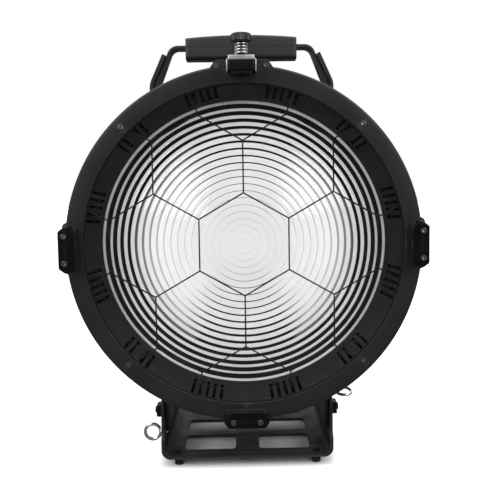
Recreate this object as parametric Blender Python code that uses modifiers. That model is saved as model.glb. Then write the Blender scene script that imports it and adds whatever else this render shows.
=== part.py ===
"""A 350 mm fresnel spotlight: head, sliding lamp carriage, accessory ears, carry handle and tilting cradle.

Metres, +Z up. The lens looks along -Y. Depths are measured along +Y from the front ring's face.
"""

import math

import bmesh
import bpy
from mathutils import Matrix, Vector

# Driving dimensions.
FACE_Y = -0.146
AXIS_Z = 0.284
RING_RADIUS = 0.2145
RING_BORE = 0.193
RING_DEPTH = 0.024
LENS_RADIUS = 0.179
LENS_FRONT = 0.0275
LENS_BACK = 0.0385
LENS_SEAT = 0.0315
GROOVES = 7
BEZEL_MOUTH = 0.1918
BEZEL_THROAT = 0.175
BEZEL_FRONT = 0.0033
BEZEL_REAR = 0.029
BARREL_RADIUS = 0.186
BARREL_BORE = 0.183
BARREL_REAR = 0.275
COVER_REAR = 0.300
WALL = 0.003
EAR_REACH = 0.2175
EAR_HALF = 0.0275
EAR_INNER = 0.1975
EAR_FRONT = -0.018
WIRE = 0.0016
MESH_SIDE = 0.063
GUARD_DEPTH = 0.012
CRADLE_HALF = 0.109
CRADLE_SHEET = 0.004
CRADLE_FLOOR = 0.010
CRADLE_FRONT = 0.025
CRADLE_BACK = 0.235
PLATE_TOP = 0.092
PLATE_REAR_TOP = 0.050
BEND = 0.012
PIVOT_DEPTH = 0.078
PIVOT_Z = 0.056
EYE_ARC = 0.030
EYE_ANGLES = {"left": 228.0, "right": 19.0}
EYE_REACH = {"left": 0.0045, "right": 0.0155}
EYE_RING_TILT = 10.0
TILT_FORWARD = 8.0
TILT_BACK = 18.0
CARRIAGE_DEPTH = 0.150
MODULE = 0.0015
PINION_TEETH = 14
PINION_DEPTH = 0.175
HANDLE_DEPTH = 0.100
GRIP_HALF = 0.0725
STRAP_TOP = 0.538
STRAP_THICK = 0.0043
STRAP_WIDTH = 0.023
STRAP_CORNER = 0.090
STRAP_END_X = 0.111
STRAP_END_Z = 0.485
CONTROL_Z = AXIS_Z - 0.115
SHEET = 0.0016
TOOTH_SLACK = 0.00022
GAP = 0.0003

SEGMENTS = 40
SMALL_STEPS = 16
WELD = 0.00002

FINISHES = {
    "ring_paint": ((0.030, 0.031, 0.034), 0.42, 0.2),
    "bezel_paint": ((0.014, 0.014, 0.015), 0.55, 0.2),
    "gloss_black": ((0.008, 0.008, 0.009), 0.25, 0.0),
    "frame_paint": ((0.040, 0.040, 0.037), 0.50, 0.2),
    "grip_plastic": ((0.030, 0.031, 0.034), 0.55, 0.0),
    "rubber": ((0.016, 0.016, 0.016), 0.80, 0.0),
    "nickel": ((0.72, 0.70, 0.66), 0.18, 1.0),
    "steel": ((0.55, 0.55, 0.55), 0.35, 1.0),
    "dark_steel": ((0.10, 0.10, 0.09), 0.40, 0.9),
    "aluminium": ((0.75, 0.76, 0.78), 0.35, 1.0),
    "glass": ((0.92, 0.96, 0.95), 0.05, 0.0),
    "silver": ((0.90, 0.90, 0.89), 0.20, 1.0),
    "white": ((0.90, 0.90, 0.87), 0.60, 0.0),
    "phosphor": ((0.85, 0.65, 0.15), 0.50, 0.0),
    "moulding": ((0.020, 0.020, 0.022), 0.60, 0.0),
}

# Rotations that lay a shape's own axes along the world's.
ALONG_Y = Matrix(((1, 0, 0), (0, 0, 1), (0, -1, 0)))
ALONG_X = Matrix(((0, 0, 1), (1, 0, 0), (0, 1, 0)))
ALONG_Z = Matrix.Identity(3)
UPRIGHT = Matrix(((1, 0, 0), (0, 0, -1), (0, 1, 0)))

parts = None
cutters = None
materials = {}


def clear_scene():
    for found in list(bpy.data.objects):
        bpy.data.objects.remove(found, do_unlink=True)


def new_collection(name):
    made = bpy.data.collections.new(name)
    bpy.context.scene.collection.children.link(made)
    return made


def finish_named(name):
    if name not in materials:
        colour, roughness, metallic = FINISHES[name]
        made = bpy.data.materials.new(name)
        made.use_nodes = True
        shader = made.node_tree.nodes["Principled BSDF"]
        shader.inputs["Base Color"].default_value = (*colour, 1.0)
        shader.inputs["Roughness"].default_value = roughness
        shader.inputs["Metallic"].default_value = metallic
        made.diffuse_color = (*colour, 1.0)
        materials[name] = made
    return materials[name]


def at(x, depth, z):
    """A world point from its distance behind the front ring's face."""
    return Vector((x, FACE_Y + depth, z))


def placed(turn, location):
    return Matrix.Translation(location) @ turn.to_4x4()


def new_object(name, mesh, finish, matrix):
    made = bpy.data.objects.new(name, mesh)
    parts.objects.link(made)
    made.matrix_world = matrix
    if finish:
        made.data.materials.append(finish_named(finish))
    return made


def smooth(piece, angle=35.0):
    piece.data.shade_smooth()
    piece.data.set_sharp_from_angle(angle=math.radians(angle))


def as_cutter(piece):
    parts.objects.unlink(piece)
    cutters.objects.link(piece)
    piece.hide_render = True
    piece.display_type = "WIRE"
    return piece


def combine(piece, other, operation):
    step = piece.modifiers.new(operation.lower(), "BOOLEAN")
    step.operation = operation
    step.object = as_cutter(other)
    return piece


def cut(piece, *others):
    for other in others:
        combine(piece, other, "DIFFERENCE")
    return piece


def join(piece, *others):
    for other in others:
        combine(piece, other, "UNION")
    return piece


def box(name, low, high, finish=None, bevel=0.0):
    """A block between two corners, with its origin at its middle."""
    low, high = Vector(low), Vector(high)
    edit = bmesh.new()
    bmesh.ops.create_cube(edit, size=1.0)
    bmesh.ops.scale(edit, vec=high - low, verts=edit.verts)
    mesh = bpy.data.meshes.new(name)
    edit.to_mesh(mesh)
    edit.free()
    made = new_object(name, mesh, finish, Matrix.Translation((low + high) / 2))
    if bevel:
        edge = made.modifiers.new("edges", "BEVEL")
        edge.width = bevel
        edge.segments = 1
    return made


def blocks(name, boxes, matrix=None):
    """Many blocks in one mesh, each (centre, size, turn), for cutting a row of openings."""
    edit = bmesh.new()
    for centre, size, turn in boxes:
        new = bmesh.ops.create_cube(edit, size=1.0)["verts"]
        bmesh.ops.scale(edit, vec=size, verts=new)
        bmesh.ops.rotate(edit, matrix=turn, verts=new)
        bmesh.ops.translate(edit, vec=centre, verts=new)
    mesh = bpy.data.meshes.new(name)
    edit.to_mesh(mesh)
    edit.free()
    return new_object(name, mesh, None, matrix or Matrix.Identity(4))


def turned(name, profile, turn, location, finish=None, steps=SEGMENTS):
    """A profile of (radius, height) points turned about its own Z, closed unless it ends on the axis."""
    area = sum(a[0] * b[1] - b[0] * a[1] for a, b in zip(profile, profile[1:] + profile[:1]))
    points = profile[::-1] if area > 0 else profile
    on_axis = [i for i, point in enumerate(points) if point[0] < WELD]
    if len(on_axis) == 2:
        start = on_axis[1] if on_axis == [0, 1] or on_axis[1] - on_axis[0] == 1 else on_axis[0]
        points = points[start:] + points[:start]
    edit = bmesh.new()
    corners = [edit.verts.new((radius, 0.0, height)) for radius, height in points]
    for a, b in zip(corners, corners[1:]):
        edit.edges.new((a, b))
    if not on_axis:
        edit.edges.new((corners[-1], corners[0]))
    mesh = bpy.data.meshes.new(name)
    edit.to_mesh(mesh)
    edit.free()
    made = new_object(name, mesh, finish, placed(turn, location))
    screw = made.modifiers.new("turn", "SCREW")
    screw.axis = "Z"
    screw.steps = steps
    screw.render_steps = steps
    screw.use_merge_vertices = True
    screw.merge_threshold = WELD
    screw.use_smooth_shade = True
    return made


def round_bar(name, radius, low, high, turn, location, finish=None, steps=SMALL_STEPS):
    profile = [(0.0, high), (radius, high), (radius, low), (0.0, low)]
    return turned(name, profile, turn, location, finish, steps)


def to_mesh(curve_object, finish):
    """The curve's evaluated solid as a mesh object in its place, with its caps welded on."""
    graph = bpy.context.evaluated_depsgraph_get()
    mesh = bpy.data.meshes.new_from_object(curve_object.evaluated_get(graph))
    edit = bmesh.new()
    edit.from_mesh(mesh)
    bmesh.ops.remove_doubles(edit, verts=edit.verts, dist=WELD)
    bmesh.ops.recalc_face_normals(edit, faces=edit.faces)
    edit.to_mesh(mesh)
    edit.free()
    name, matrix = curve_object.name, curve_object.matrix_world.copy()
    bpy.data.objects.remove(curve_object, do_unlink=True)
    mesh.materials.clear()
    return new_object(name, mesh, finish, matrix)


def plate(name, loops, thickness, turn, location, finish=None):
    """A flat outline with its holes, as thick as stated, centred on its own plane."""
    curve = bpy.data.curves.new(name, "CURVE")
    curve.dimensions = "2D"
    curve.fill_mode = "BOTH"
    curve.extrude = thickness / 2
    for loop in loops:
        spline = curve.splines.new("POLY")
        spline.points.add(len(loop) - 1)
        for point, (x, y) in zip(spline.points, loop):
            point.co = (x, y, 0.0, 1.0)
        spline.use_cyclic_u = True
    made = new_object(name, curve, None, placed(turn, location))
    bpy.context.view_layer.update()
    return to_mesh(made, finish)


def wire(name, points, radius, cyclic, finish=None):
    curve = bpy.data.curves.new(name, "CURVE")
    curve.dimensions = "3D"
    curve.bevel_depth = radius
    curve.bevel_resolution = 2
    curve.use_fill_caps = True
    spline = curve.splines.new("POLY")
    spline.points.add(len(points) - 1)
    for point, place in zip(spline.points, points):
        point.co = (*place, 1.0)
    spline.use_cyclic_u = cyclic
    made = new_object(name, curve, None, Matrix.Identity(4))
    bpy.context.view_layer.update()
    return to_mesh(made, finish)


def arc(cx, cy, radius, start, end, count):
    """Points on an arc, with its angles in degrees."""
    steps = [math.radians(start + (end - start) * i / (count - 1)) for i in range(count)]
    return [(cx + radius * math.cos(t), cy + radius * math.sin(t)) for t in steps]


def rounded(x0, y0, x1, y1, radius, count=4):
    """A rectangle with round corners."""
    return (
        arc(x1 - radius, y0 + radius, radius, -90, 0, count)
        + arc(x1 - radius, y1 - radius, radius, 0, 90, count)
        + arc(x0 + radius, y1 - radius, radius, 90, 180, count)
        + arc(x0 + radius, y0 + radius, radius, 180, 270, count)
    )


def arc_slot(cx, cy, radius, start, end, half, count=6):
    """A slot of round ends that follows an arc."""
    a, b = math.radians(start), math.radians(end)
    near = (cx + radius * math.cos(a), cy + radius * math.sin(a))
    far = (cx + radius * math.cos(b), cy + radius * math.sin(b))
    return (
        arc(cx, cy, radius + half, start, end, count)
        + arc(*far, half, end, end + 180, 5)[1:-1]
        + arc(cx, cy, radius - half, end, start, count)
        + arc(*near, half, start + 180, start + 360, 5)[1:-1]
    )


def ribbon(path, thickness):
    """The outline of a bent strip, mitred at its bends, to the left and right of its path."""
    left, right = [], []
    for i, here in enumerate(path):
        point = Vector(here)
        before = (point - Vector(path[i - 1])).normalized() if i else None
        after = (Vector(path[i + 1]) - point).normalized() if i < len(path) - 1 else None
        along = ((before or after) + (after or before)).normalized()
        side = Vector((-along.y, along.x))
        reach = thickness / 2 / side.dot(Vector((-(after or before).y, (after or before).x)))
        left.append(tuple(point + side * reach))
        right.append(tuple(point - side * reach))
    return left + right[::-1]


def head_turned(name, profile, finish, steps=SEGMENTS):
    return turned(name, profile, ALONG_Y, at(0, 0, AXIS_Z), finish, steps)


def head_spot(radius, angle, depth):
    """A point in front of the lens from its polar place about the head's axis."""
    t = math.radians(angle)
    return at(radius * math.cos(t), depth, AXIS_Z + radius * math.sin(t))


# The front of the head.


def radial_plate(name, loop, angle, low, high, finish=None):
    """An outline drawn across and outwards, turned to stand at an angle on the head's face."""
    turn = Matrix.Rotation(math.radians(90 - angle), 3, "Y") @ UPRIGHT
    middle = (low + high) / 2
    return plate(name, [loop], high - low, turn, at(0, middle, AXIS_Z), finish)


def stepped(start, wide, step, narrow, end):
    """The profile of a round head on a narrower shank."""
    return [(0.0, start), (wide, start), (wide, step), (narrow, step), (narrow, end), (0.0, end)]


def make_front_ring():
    chamfer = 0.0025
    profile = [
        (RING_BORE, 0.0),
        (RING_RADIUS - chamfer, 0.0),
        (RING_RADIUS, chamfer),
        (RING_RADIUS, RING_DEPTH),
        (BARREL_RADIUS + 2 * GAP, RING_DEPTH),
        (BARREL_RADIUS + 2 * GAP, 0.0155),
        (0.197, 0.0125),
        (0.197, 0.003),
        (RING_BORE, 0.003),
    ]
    ring = head_turned("front_ring", profile, "ring_paint")
    top = [(-0.037, 0.208), (0.037, 0.208), (0.031, 0.2198), (-0.031, 0.2198)]
    side = [(-0.033, 0.206), (0.033, 0.206), (0.028, 0.2170), (-0.028, 0.2170)]
    join(ring, radial_plate("ring_top_tab", top, 90, 0.0008, 0.0230))
    for angle in (0, 180, 270):
        join(ring, radial_plate(f"ring_tab_{angle}", side, angle, 0.0008, 0.0230))
    for i, angle in enumerate((45, 135, 225, 315)):
        place = head_spot(0.2023, angle, 0)
        hole = stepped(-0.002, 0.0046, 0.0031, 0.0024, 0.0145)
        screw = stepped(0.0006, 0.0043, 0.0028, 0.0021, 0.0138)
        cut(ring, turned(f"ring_hole_{i}", hole, ALONG_Y, place, None, 12))
        turned(f"ring_screw_{i + 1}", screw, ALONG_Y, place, "dark_steel", 12)


def slot_angles():
    """Twelve groups of vent slots, the four on the diagonals without their middle one."""
    for group in range(12):
        centre = 15 + 30 * group
        for step in range(-2, 3):
            diagonal = group in (1, 4, 7, 10)
            if not (diagonal and step == 0):
                yield centre + 2.7 * step


def make_bezel():
    slope = (BEZEL_MOUTH - BEZEL_THROAT) / (BEZEL_REAR - BEZEL_FRONT)
    profile = [
        (0.1967, BEZEL_FRONT),
        (BEZEL_MOUTH, BEZEL_FRONT),
        (BEZEL_THROAT, BEZEL_REAR),
        (BEZEL_THROAT, 0.0300),
        (0.1814, 0.0300),
        (0.1814, 0.0440),
        (0.1827, 0.0440),
        (0.1827, 0.0282),
        (BEZEL_THROAT + slope * 0.0008 + SHEET, 0.0282),
        (BEZEL_MOUTH - slope * 0.0017 + SHEET, 0.0050),
        (0.1967, 0.0050),
    ]
    bezel = head_turned("bezel", profile, "bezel_paint")
    lean = math.atan(slope)
    rows = []
    for angle in slot_angles():
        t = math.radians(angle)
        turn = Matrix.Rotation(-t, 3, "Y") @ Matrix.Rotation(lean, 3, "Z")
        depth = 0.0145
        radius = BEZEL_MOUTH - slope * (depth - BEZEL_FRONT)
        rows.append(((radius * math.cos(t), depth, radius * math.sin(t)), (0.008, 0.0185, 0.0037), turn))
    cut(bezel, blocks("bezel_slots", rows, Matrix.Translation(at(0, 0, AXIS_Z))))


def make_lens():
    pitch = (LENS_RADIUS - 0.007) / GROOVES
    profile = [(0.0, LENS_BACK), (0.0, LENS_FRONT)]
    for i in range(GROOVES):
        start, end = pitch * i, pitch * (i + 1)
        fall = 0.0012 + 0.0026 * i / GROOVES
        if i:
            profile.append((start, LENS_FRONT))
        profile.append((end, LENS_FRONT + fall))
    profile += [(pitch * GROOVES, LENS_SEAT), (LENS_RADIUS, LENS_SEAT), (LENS_RADIUS, LENS_BACK)]
    head_turned("fresnel_lens", profile, "glass")
    gasket = [
        (0.1757, 0.0303),
        (0.1811, 0.0303),
        (0.1811, 0.0403),
        (0.1757, 0.0403),
        (0.1757, LENS_BACK + GAP),
        (LENS_RADIUS + GAP, LENS_BACK + GAP),
        (LENS_RADIUS + GAP, LENS_SEAT - GAP),
        (0.1757, LENS_SEAT - GAP),
    ]
    head_turned("lens_gasket", gasket, "rubber")
    retainer = [(0.1745, 0.0406), (0.1811, 0.0406), (0.1811, 0.0436), (0.1745, 0.0436)]
    head_turned("lens_retainer", retainer, "moulding")


def guard_graph():
    """Seven hexagons round the axis, with a tail outwards from each of the twelve outer corners."""
    corners, edges = [], set()

    def corner(x, y):
        for i, found in enumerate(corners):
            if math.hypot(found[0] - x, found[1] - y) < WIRE:
                return i
        corners.append((x, y))
        return len(corners) - 1

    def hexagon(cx, cy):
        ring = []
        for k in range(6):
            t = math.radians(30 + 60 * k)
            ring.append(corner(cx + MESH_SIDE * math.cos(t), cy + MESH_SIDE * math.sin(t)))
        for a, b in zip(ring, ring[1:] + ring[:1]):
            edges.add((min(a, b), max(a, b)))

    hexagon(0.0, 0.0)
    for k in range(6):
        t = math.radians(60 * k)
        hexagon(math.sqrt(3) * MESH_SIDE * math.cos(t), math.sqrt(3) * MESH_SIDE * math.sin(t))
    reach = BEZEL_MOUTH - 0.0068
    for i, (x, y) in enumerate(list(corners)):
        if math.hypot(x, y) < 2.5 * MESH_SIDE:
            continue
        sector = math.radians(60 * round((math.degrees(math.atan2(y, x)) - 30) / 60) + 30)
        ux, uy = math.cos(sector), math.sin(sector)
        along = -(x * ux + y * uy) + math.sqrt((x * ux + y * uy) ** 2 - x * x - y * y + reach * reach)
        edges.add((i, corner(x + ux * along, y + uy * along)))
    return corners, edges


def wire_outlines(corners, edges):
    """The loops that bound a flat net of wires: one in each mesh and one round the outside."""
    near = {i: [] for i in range(len(corners))}
    for a, b in edges:
        near[a].append(b)
        near[b].append(a)

    def heading(a, b):
        return math.atan2(corners[b][1] - corners[a][1], corners[b][0] - corners[a][0])

    for i, others in near.items():
        others.sort(key=lambda j, i=i: heading(i, j))
    left = {(a, b) for a, b in edges} | {(b, a) for a, b in edges}
    half = WIRE / 2
    loops = []
    while left:
        a, b = min(left)
        loop = []
        while (a, b) in left:
            left.discard((a, b))
            ring = near[b]
            c = ring[(ring.index(a) - 1) % len(ring)]
            x, y = corners[b]
            come, go = heading(a, b), heading(b, c)
            if len(ring) == 1:
                for side in (1, -1):
                    loop.append((x - side * half * math.sin(come), y + side * half * math.cos(come)))
            else:
                turn = (go - come + math.pi) % (2 * math.pi) - math.pi
                middle = come + turn / 2
                reach = half / math.cos(turn / 2)
                loop.append((x - reach * math.sin(middle), y + reach * math.cos(middle)))
            a, b = b, c
        loops.append(loop)
    return loops


def make_wire_guard():
    loops = wire_outlines(*guard_graph())
    plate("wire_guard", loops, WIRE, UPRIGHT, at(0, GUARD_DEPTH, AXIS_Z), "gloss_black")


def make_ear(name, angle):
    """A long eight-sided face on a foot, which together grip an accessory frame's rim."""
    inner_side, outer_side, slant = 0.2060, 0.2100, 0.0055
    face = [
        (-EAR_HALF + 0.0070, EAR_INNER),
        (EAR_HALF - 0.0070, EAR_INNER),
        (EAR_HALF, inner_side),
        (EAR_HALF, outer_side),
        (EAR_HALF - slant, EAR_REACH),
        (-EAR_HALF + slant, EAR_REACH),
        (-EAR_HALF, outer_side),
        (-EAR_HALF, inner_side),
    ]
    inset = 0.0006
    foot = [
        (-EAR_HALF + inset, inner_side + inset),
        (EAR_HALF - inset, inner_side + inset),
        (EAR_HALF - inset, outer_side - inset),
        (EAR_HALF - slant - inset, EAR_REACH - inset),
        (-EAR_HALF + slant + inset, EAR_REACH - inset),
        (-EAR_HALF + inset, outer_side - inset),
    ]
    ear = radial_plate(f"ear_{name}", face, angle, EAR_FRONT, EAR_FRONT + 0.005, "gloss_black")
    join(ear, radial_plate(f"ear_{name}_foot", foot, angle, EAR_FRONT + 0.003, -GAP))
    sink = [(0.0, -0.022), (0.0036, -0.022), (0.0036, -0.0155), (0.0, -0.0155)]
    for side in (-1, 1):
        t = math.radians(angle)
        across = Vector((-math.sin(t), 0, math.cos(t))) * 0.016 * side
        place = head_spot(0.2108, angle, 0) + across
        cut(ear, turned(f"ear_{name}_sink_{side}", sink, ALONG_Y, place, None, 10))


def make_latch():
    """The top catch: a block, a bent plate over it, and a sprung rod with a knob above and a claw below."""
    shell = box("latch_block", at(-0.0150, EAR_FRONT, 0.4892), at(0.0150, -GAP, 0.5000), "gloss_black", 0.0008)
    middle = at(0, -0.009, 0)
    cut(shell, round_bar("latch_bore", 0.0045, 0.480, 0.510, ALONG_Z, middle))
    cap = ribbon([(-0.0164, 0.4860), (-0.0164, 0.5024), (0.0164, 0.5024), (0.0164, 0.4860)], 0.0020)
    cover = plate("latch_plate", [cap], 0.0170, UPRIGHT, at(0, -0.0092, 0), "aluminium")
    cap_block = box("latch_cap", at(-0.0153, -0.0177, 0.5022), at(0.0153, -0.0007, 0.5060))
    join(cover, cap_block)
    cut(cover, round_bar("plate_bore", 0.0045, 0.495, 0.515, ALONG_Z, middle))
    rod = round_bar("latch_rod", 0.0040, 0.4862, 0.5290, ALONG_Z, middle, "steel")
    join(rod, box("latch_claw", at(-0.0120, -0.0165, 0.4850), at(0.0120, -0.0030, 0.4888)))
    knob_profile = [
        (0.0043, 0.5217),
        (0.0115, 0.5217),
        (0.0125, 0.5230),
        (0.0125, 0.5310),
        (0.0112, 0.5324),
        (0.0, 0.5324),
        (0.0, 0.5293),
        (0.0043, 0.5293),
    ]
    turned("latch_knob", knob_profile, ALONG_Z, middle, "dark_steel", 24)
    turns, per_turn, radius, thick = 3.5, 10, 0.0071, 0.0010
    low, high = 0.5060 + GAP + thick, 0.5217 - GAP - thick
    count = int(turns * per_turn)
    coil = []
    for i in range(count + 1):
        t = 2 * math.pi * i / per_turn
        z = low + (high - low) * i / count
        coil.append(middle + Vector((radius * math.cos(t), radius * math.sin(t), z)))
    wire("latch_spring", coil, thick, False, "nickel")


# The body of the head.


def make_barrel():
    front = 0.021
    profile = [
        (BARREL_BORE, front),
        (BARREL_RADIUS, front),
        (BARREL_RADIUS, BARREL_REAR),
        (BARREL_BORE, BARREL_REAR),
    ]
    barrel = head_turned("barrel", profile, "ring_paint")
    rows = []
    for angle in range(5, 176, 10):
        if abs(angle - 45) < 12 or abs(angle - 135) < 12:
            continue
        t = math.radians(angle)
        turn = Matrix.Rotation(-t, 3, "Y")
        spot = (0.1845 * math.cos(t), 0.238, 0.1845 * math.sin(t))
        rows.append((spot, (0.012, 0.036, 0.006), turn))
    cut(barrel, blocks("barrel_vents", rows, Matrix.Translation(at(0, 0, AXIS_Z))))
    place = at(0, PINION_DEPTH, AXIS_Z)
    cut(barrel, round_bar("bush_hole", 0.0083, 0.170, 0.200, ALONG_X, place))


def make_rear_cover():
    shell = [
        (BARREL_RADIUS, BARREL_REAR + GAP),
        (BARREL_RADIUS, COVER_REAR - 0.010),
        (0.1830, COVER_REAR - 0.003),
        (0.1760, COVER_REAR),
        (0.0600, COVER_REAR),
        (0.0600, COVER_REAR - WALL),
        (0.1745, COVER_REAR - WALL),
        (0.1795, COVER_REAR - 0.0065),
        (0.1795, BARREL_REAR - 0.006),
        (0.1826, BARREL_REAR - 0.006),
        (0.1826, BARREL_REAR + GAP),
    ]
    cover = head_turned("rear_cover", shell, "ring_paint")
    z = CONTROL_Z
    cut(cover, box("inlet_hole", at(-0.066, 0.290, z - 0.0125), at(-0.034, 0.305, z + 0.0125)))
    cut(cover, box("switch_hole", at(-0.0110, 0.290, z - 0.0145), at(0.0110, 0.305, z + 0.0145)))
    cut(cover, round_bar("dimmer_hole", 0.0042, 0.290, 0.305, ALONG_Y, at(0.050, 0, z)))


def grille_loops():
    """A disc with three rings of curved slots."""
    loops = [arc(0, 0, 0.0680, 0, 360, 33)[:-1]]
    half, web = 0.0045, 0.003
    for radius in (0.018, 0.034, 0.050):
        spare = math.degrees((2 * half + web) / radius)
        for quarter in range(4):
            start = 90 * quarter + spare / 2
            loops.append(arc_slot(0, 0, radius, start, start + 90 - spare, half, 4))
    return loops


def make_grille():
    thick = 0.0025
    place = at(0, COVER_REAR + GAP + thick / 2, AXIS_Z)
    plate("rear_grille", grille_loops(), thick, UPRIGHT, place, "frame_paint")


def make_inlet():
    z = CONTROL_Z
    inlet = box("power_inlet", at(-0.0655, 0.281, z - 0.0120), at(-0.0345, 0.3018, z + 0.0120), "moulding")
    rim = rounded(-0.072, z - 0.015, -0.028, z + 0.015, 0.004)
    join(inlet, plate("inlet_flange", [rim], 0.002, UPRIGHT, at(0, COVER_REAR + GAP + 0.001, 0)))
    well = rounded(-0.0620, z - 0.009, -0.0380, z + 0.009, 0.004)
    cut(inlet, plate("inlet_socket", [well], 0.020, UPRIGHT, at(0, 0.2965, 0)))


def make_switch():
    z = CONTROL_Z
    front, rear = at(-0.0107, 0.289, z - 0.0142), at(0.0107, COVER_REAR + 0.0012, z + 0.0142)
    frame = box("switch_frame", front, rear, "moulding")
    cut(frame, box("switch_well", at(-0.0080, 0.291, z - 0.0112), at(0.0080, 0.310, z + 0.0112)))
    rocker = [(0.0024, -0.0108), (0.0004, 0.0), (0.0044, 0.0108), (-0.0060, 0.0070), (-0.0060, -0.0070)]
    plate("power_switch", [rocker], 0.0150, ALONG_X, at(0, COVER_REAR, z), "gloss_black")


def make_dimmer():
    place = at(0.050, COVER_REAR, CONTROL_Z)
    knob = [
        (0.0035, 0.0008),
        (0.0120, 0.0008),
        (0.0130, 0.0020),
        (0.0115, 0.0120),
        (0.0100, 0.0135),
        (0.0, 0.0135),
        (0.0, 0.0100),
        (0.0035, 0.0100),
    ]
    turned("dimmer_knob", knob, ALONG_Y, place, "gloss_black", 24)
    spindle = stepped(-0.016, 0.009, -0.0033, 0.0031, 0.0096)
    turned("dimmer_spindle", spindle, ALONG_Y, place, "steel", 12)


def make_fan():
    side, bore = 0.0595, 0.0570
    front, back = 0.2715, 0.2963
    loops = [rounded(-side, -side, side, side, 0.006, 3), arc(0, 0, bore, 0, 360, 33)[:-1]]
    frame = plate("fan_frame", loops, back - front, UPRIGHT, at(0, (front + back) / 2, AXIS_Z), "moulding")
    stator = [
        (0.0, 0.2775),
        (0.0020, 0.2775),
        (0.0020, 0.2925),
        (0.0170, 0.2925),
        (0.0170, 0.2960),
        (0.0, 0.2960),
    ]
    hub = head_turned("fan_stator", stator, None, SMALL_STEPS)
    for k in range(4):
        turn = Matrix.Rotation(math.radians(-45 - 90 * k), 3, "Y")
        arm = (turn @ Vector((0.037, 0, 0)), (0.046, 0.0030, 0.0060), turn)
        join(hub, blocks(f"fan_arm_{k}", [arm], Matrix.Translation(at(0, 0.2943, AXIS_Z))))
    join(frame, hub)


def make_fan_rotor():
    blades, hub_radius, reach = 7, 0.0165, 0.0545
    cup = [
        (0.0024, 0.2915),
        (0.0175, 0.2915),
        (0.0175, 0.2740),
        (0.0155, 0.2728),
        (0.0, 0.2728),
        (0.0, 0.2770),
        (0.0024, 0.2770),
    ]
    rotor = head_turned("fan_rotor", cup, "moulding", 21)
    for k in range(blades):
        around = Matrix.Rotation(-math.radians(360 / blades * k + 10), 3, "Y")
        spot = around @ Vector(((hub_radius + reach) / 2, 0, 0))
        pitch = Matrix.Rotation(math.radians(52), 3, "X")
        blade = (spot, (reach - hub_radius, 0.0180, 0.0014), around @ pitch)
        join(rotor, blocks(f"fan_blade_{k}", [blade], Matrix.Translation(at(0, 0.2825, AXIS_Z))))


# The sliding lamp carriage.


def rod_spots():
    return {"left": at(-0.140, 0, AXIS_Z - 0.080), "right": at(0.140, 0, AXIS_Z - 0.080)}


def make_slide():
    for side, place in rod_spots().items():
        round_bar(f"guide_rod_{side}", 0.0050, 0.0470, 0.2655, ALONG_Y, place, "steel")
        sign = math.copysign(1, place.x)
        corners = [(0.128, -0.068), (0.128, -0.094), (0.1545, -0.094), (0.1650, -0.068)]
        loop = [(sign * x, AXIS_Z + z) for x, z in corners]
        hole = arc(place.x, place.z, 0.0053, 0, 360, SMALL_STEPS + 1)[:-1]
        plate(f"rod_bracket_{side}", [loop, hole], 0.008, UPRIGHT, at(0, 0.056, 0), "aluminium")
    outline = arc(0, AXIS_Z, 0.1790, 0, 360, SEGMENTS + 1)[:-1]
    opening = arc(0, AXIS_Z, 0.0900, 0, 360, 33)[:-1]
    plate("rear_bulkhead", [outline, opening], 0.0025, UPRIGHT, at(0, 0.2673, 0), "aluminium")


def make_carriage():
    """The plate that slides on the two rods, notched where the pinion and its shaft pass."""
    half, flank, low = 0.1560, 0.1530, AXIS_Z - 0.092
    notch_top, notch_low, notch_x = AXIS_Z + 0.013, AXIS_Z - 0.0225, 0.1455
    holes = [
        arc(place.x, place.z, 0.0053, 0, 360, SMALL_STEPS + 1)[:-1]
        for place in rod_spots().values()
    ]
    loop = [
        (-half, low),
        (flank, low),
        (flank, notch_low),
        (notch_x, notch_low),
        (notch_x, notch_top),
        (flank, notch_top),
    ] + arc(0, AXIS_Z, 0.1589, 10.8, 169.2, 13)
    place = at(0, CARRIAGE_DEPTH + 0.002, 0)
    plate("carriage_plate", [loop] + holes, 0.0040, UPRIGHT, place, "aluminium")


def make_heat_sink():
    fins, pitch, width, base, height = 11, 0.0130, 0.0030, 0.0080, 0.0440
    comb = []
    for i in range(fins):
        left = (i - (fins - 1) / 2) * pitch - width / 2
        right = left + width
        comb += [(left, base), (left, height), (right, height), (right, base)]
    edge = right + 0.004
    outline = [(-edge, 0.0), (-edge, base)] + comb + [(edge, base), (edge, 0.0)]
    place = at(0, CARRIAGE_DEPTH + 0.0043, AXIS_Z)
    plate("heat_sink", [outline], 0.140, ALONG_Z, place, "aluminium")


def make_lamp():
    board = [(0.0, 0.1477), (0.0300, 0.1477), (0.0300, 0.1497), (0.0, 0.1497)]
    head_turned("led_board", board, "white", 24)
    emitter = [(0.0, 0.1459), (0.0200, 0.1459), (0.0200, 0.1474), (0.0, 0.1474)]
    head_turned("led_emitter", emitter, "phosphor", 24)
    bowl = [
        (0.0620, 0.1497),
        (0.0620, 0.1437),
        (0.0345, 0.1437),
        (0.1135, 0.0970),
        (0.1118, 0.0970),
        (0.0315, 0.1452),
        (0.0600, 0.1452),
        (0.0600, 0.1497),
    ]
    head_turned("reflector", bowl, "silver")
    sheet = [(0.0, 0.0973), (0.1092, 0.0973), (0.1092, 0.0985), (0.0, 0.0985)]
    head_turned("diffuser", sheet, "white")


def rack_loop(length, height):
    """Straight rack teeth upwards from a bar, its pitch line at zero and a tooth gap at the middle."""
    pitch = math.pi * MODULE
    add, ded = 0.80 * MODULE, 1.25 * MODULE
    lean = math.tan(math.radians(20))
    count = int(length / pitch / 2)
    points = []
    for i in range(-count, count):
        x = (i + 0.5) * pitch
        root = pitch / 4 - TOOTH_SLACK + ded * lean
        tip = pitch / 4 - TOOTH_SLACK - add * lean
        points += [(x - root, -ded), (x - tip, add), (x + tip, add), (x + root, -ded)]
    ends = points[-1][0] + 0.002
    return [(-ends, -height), (ends, -height), (ends, -ded)] + points[::-1] + [(-ends, -ded)]


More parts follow.
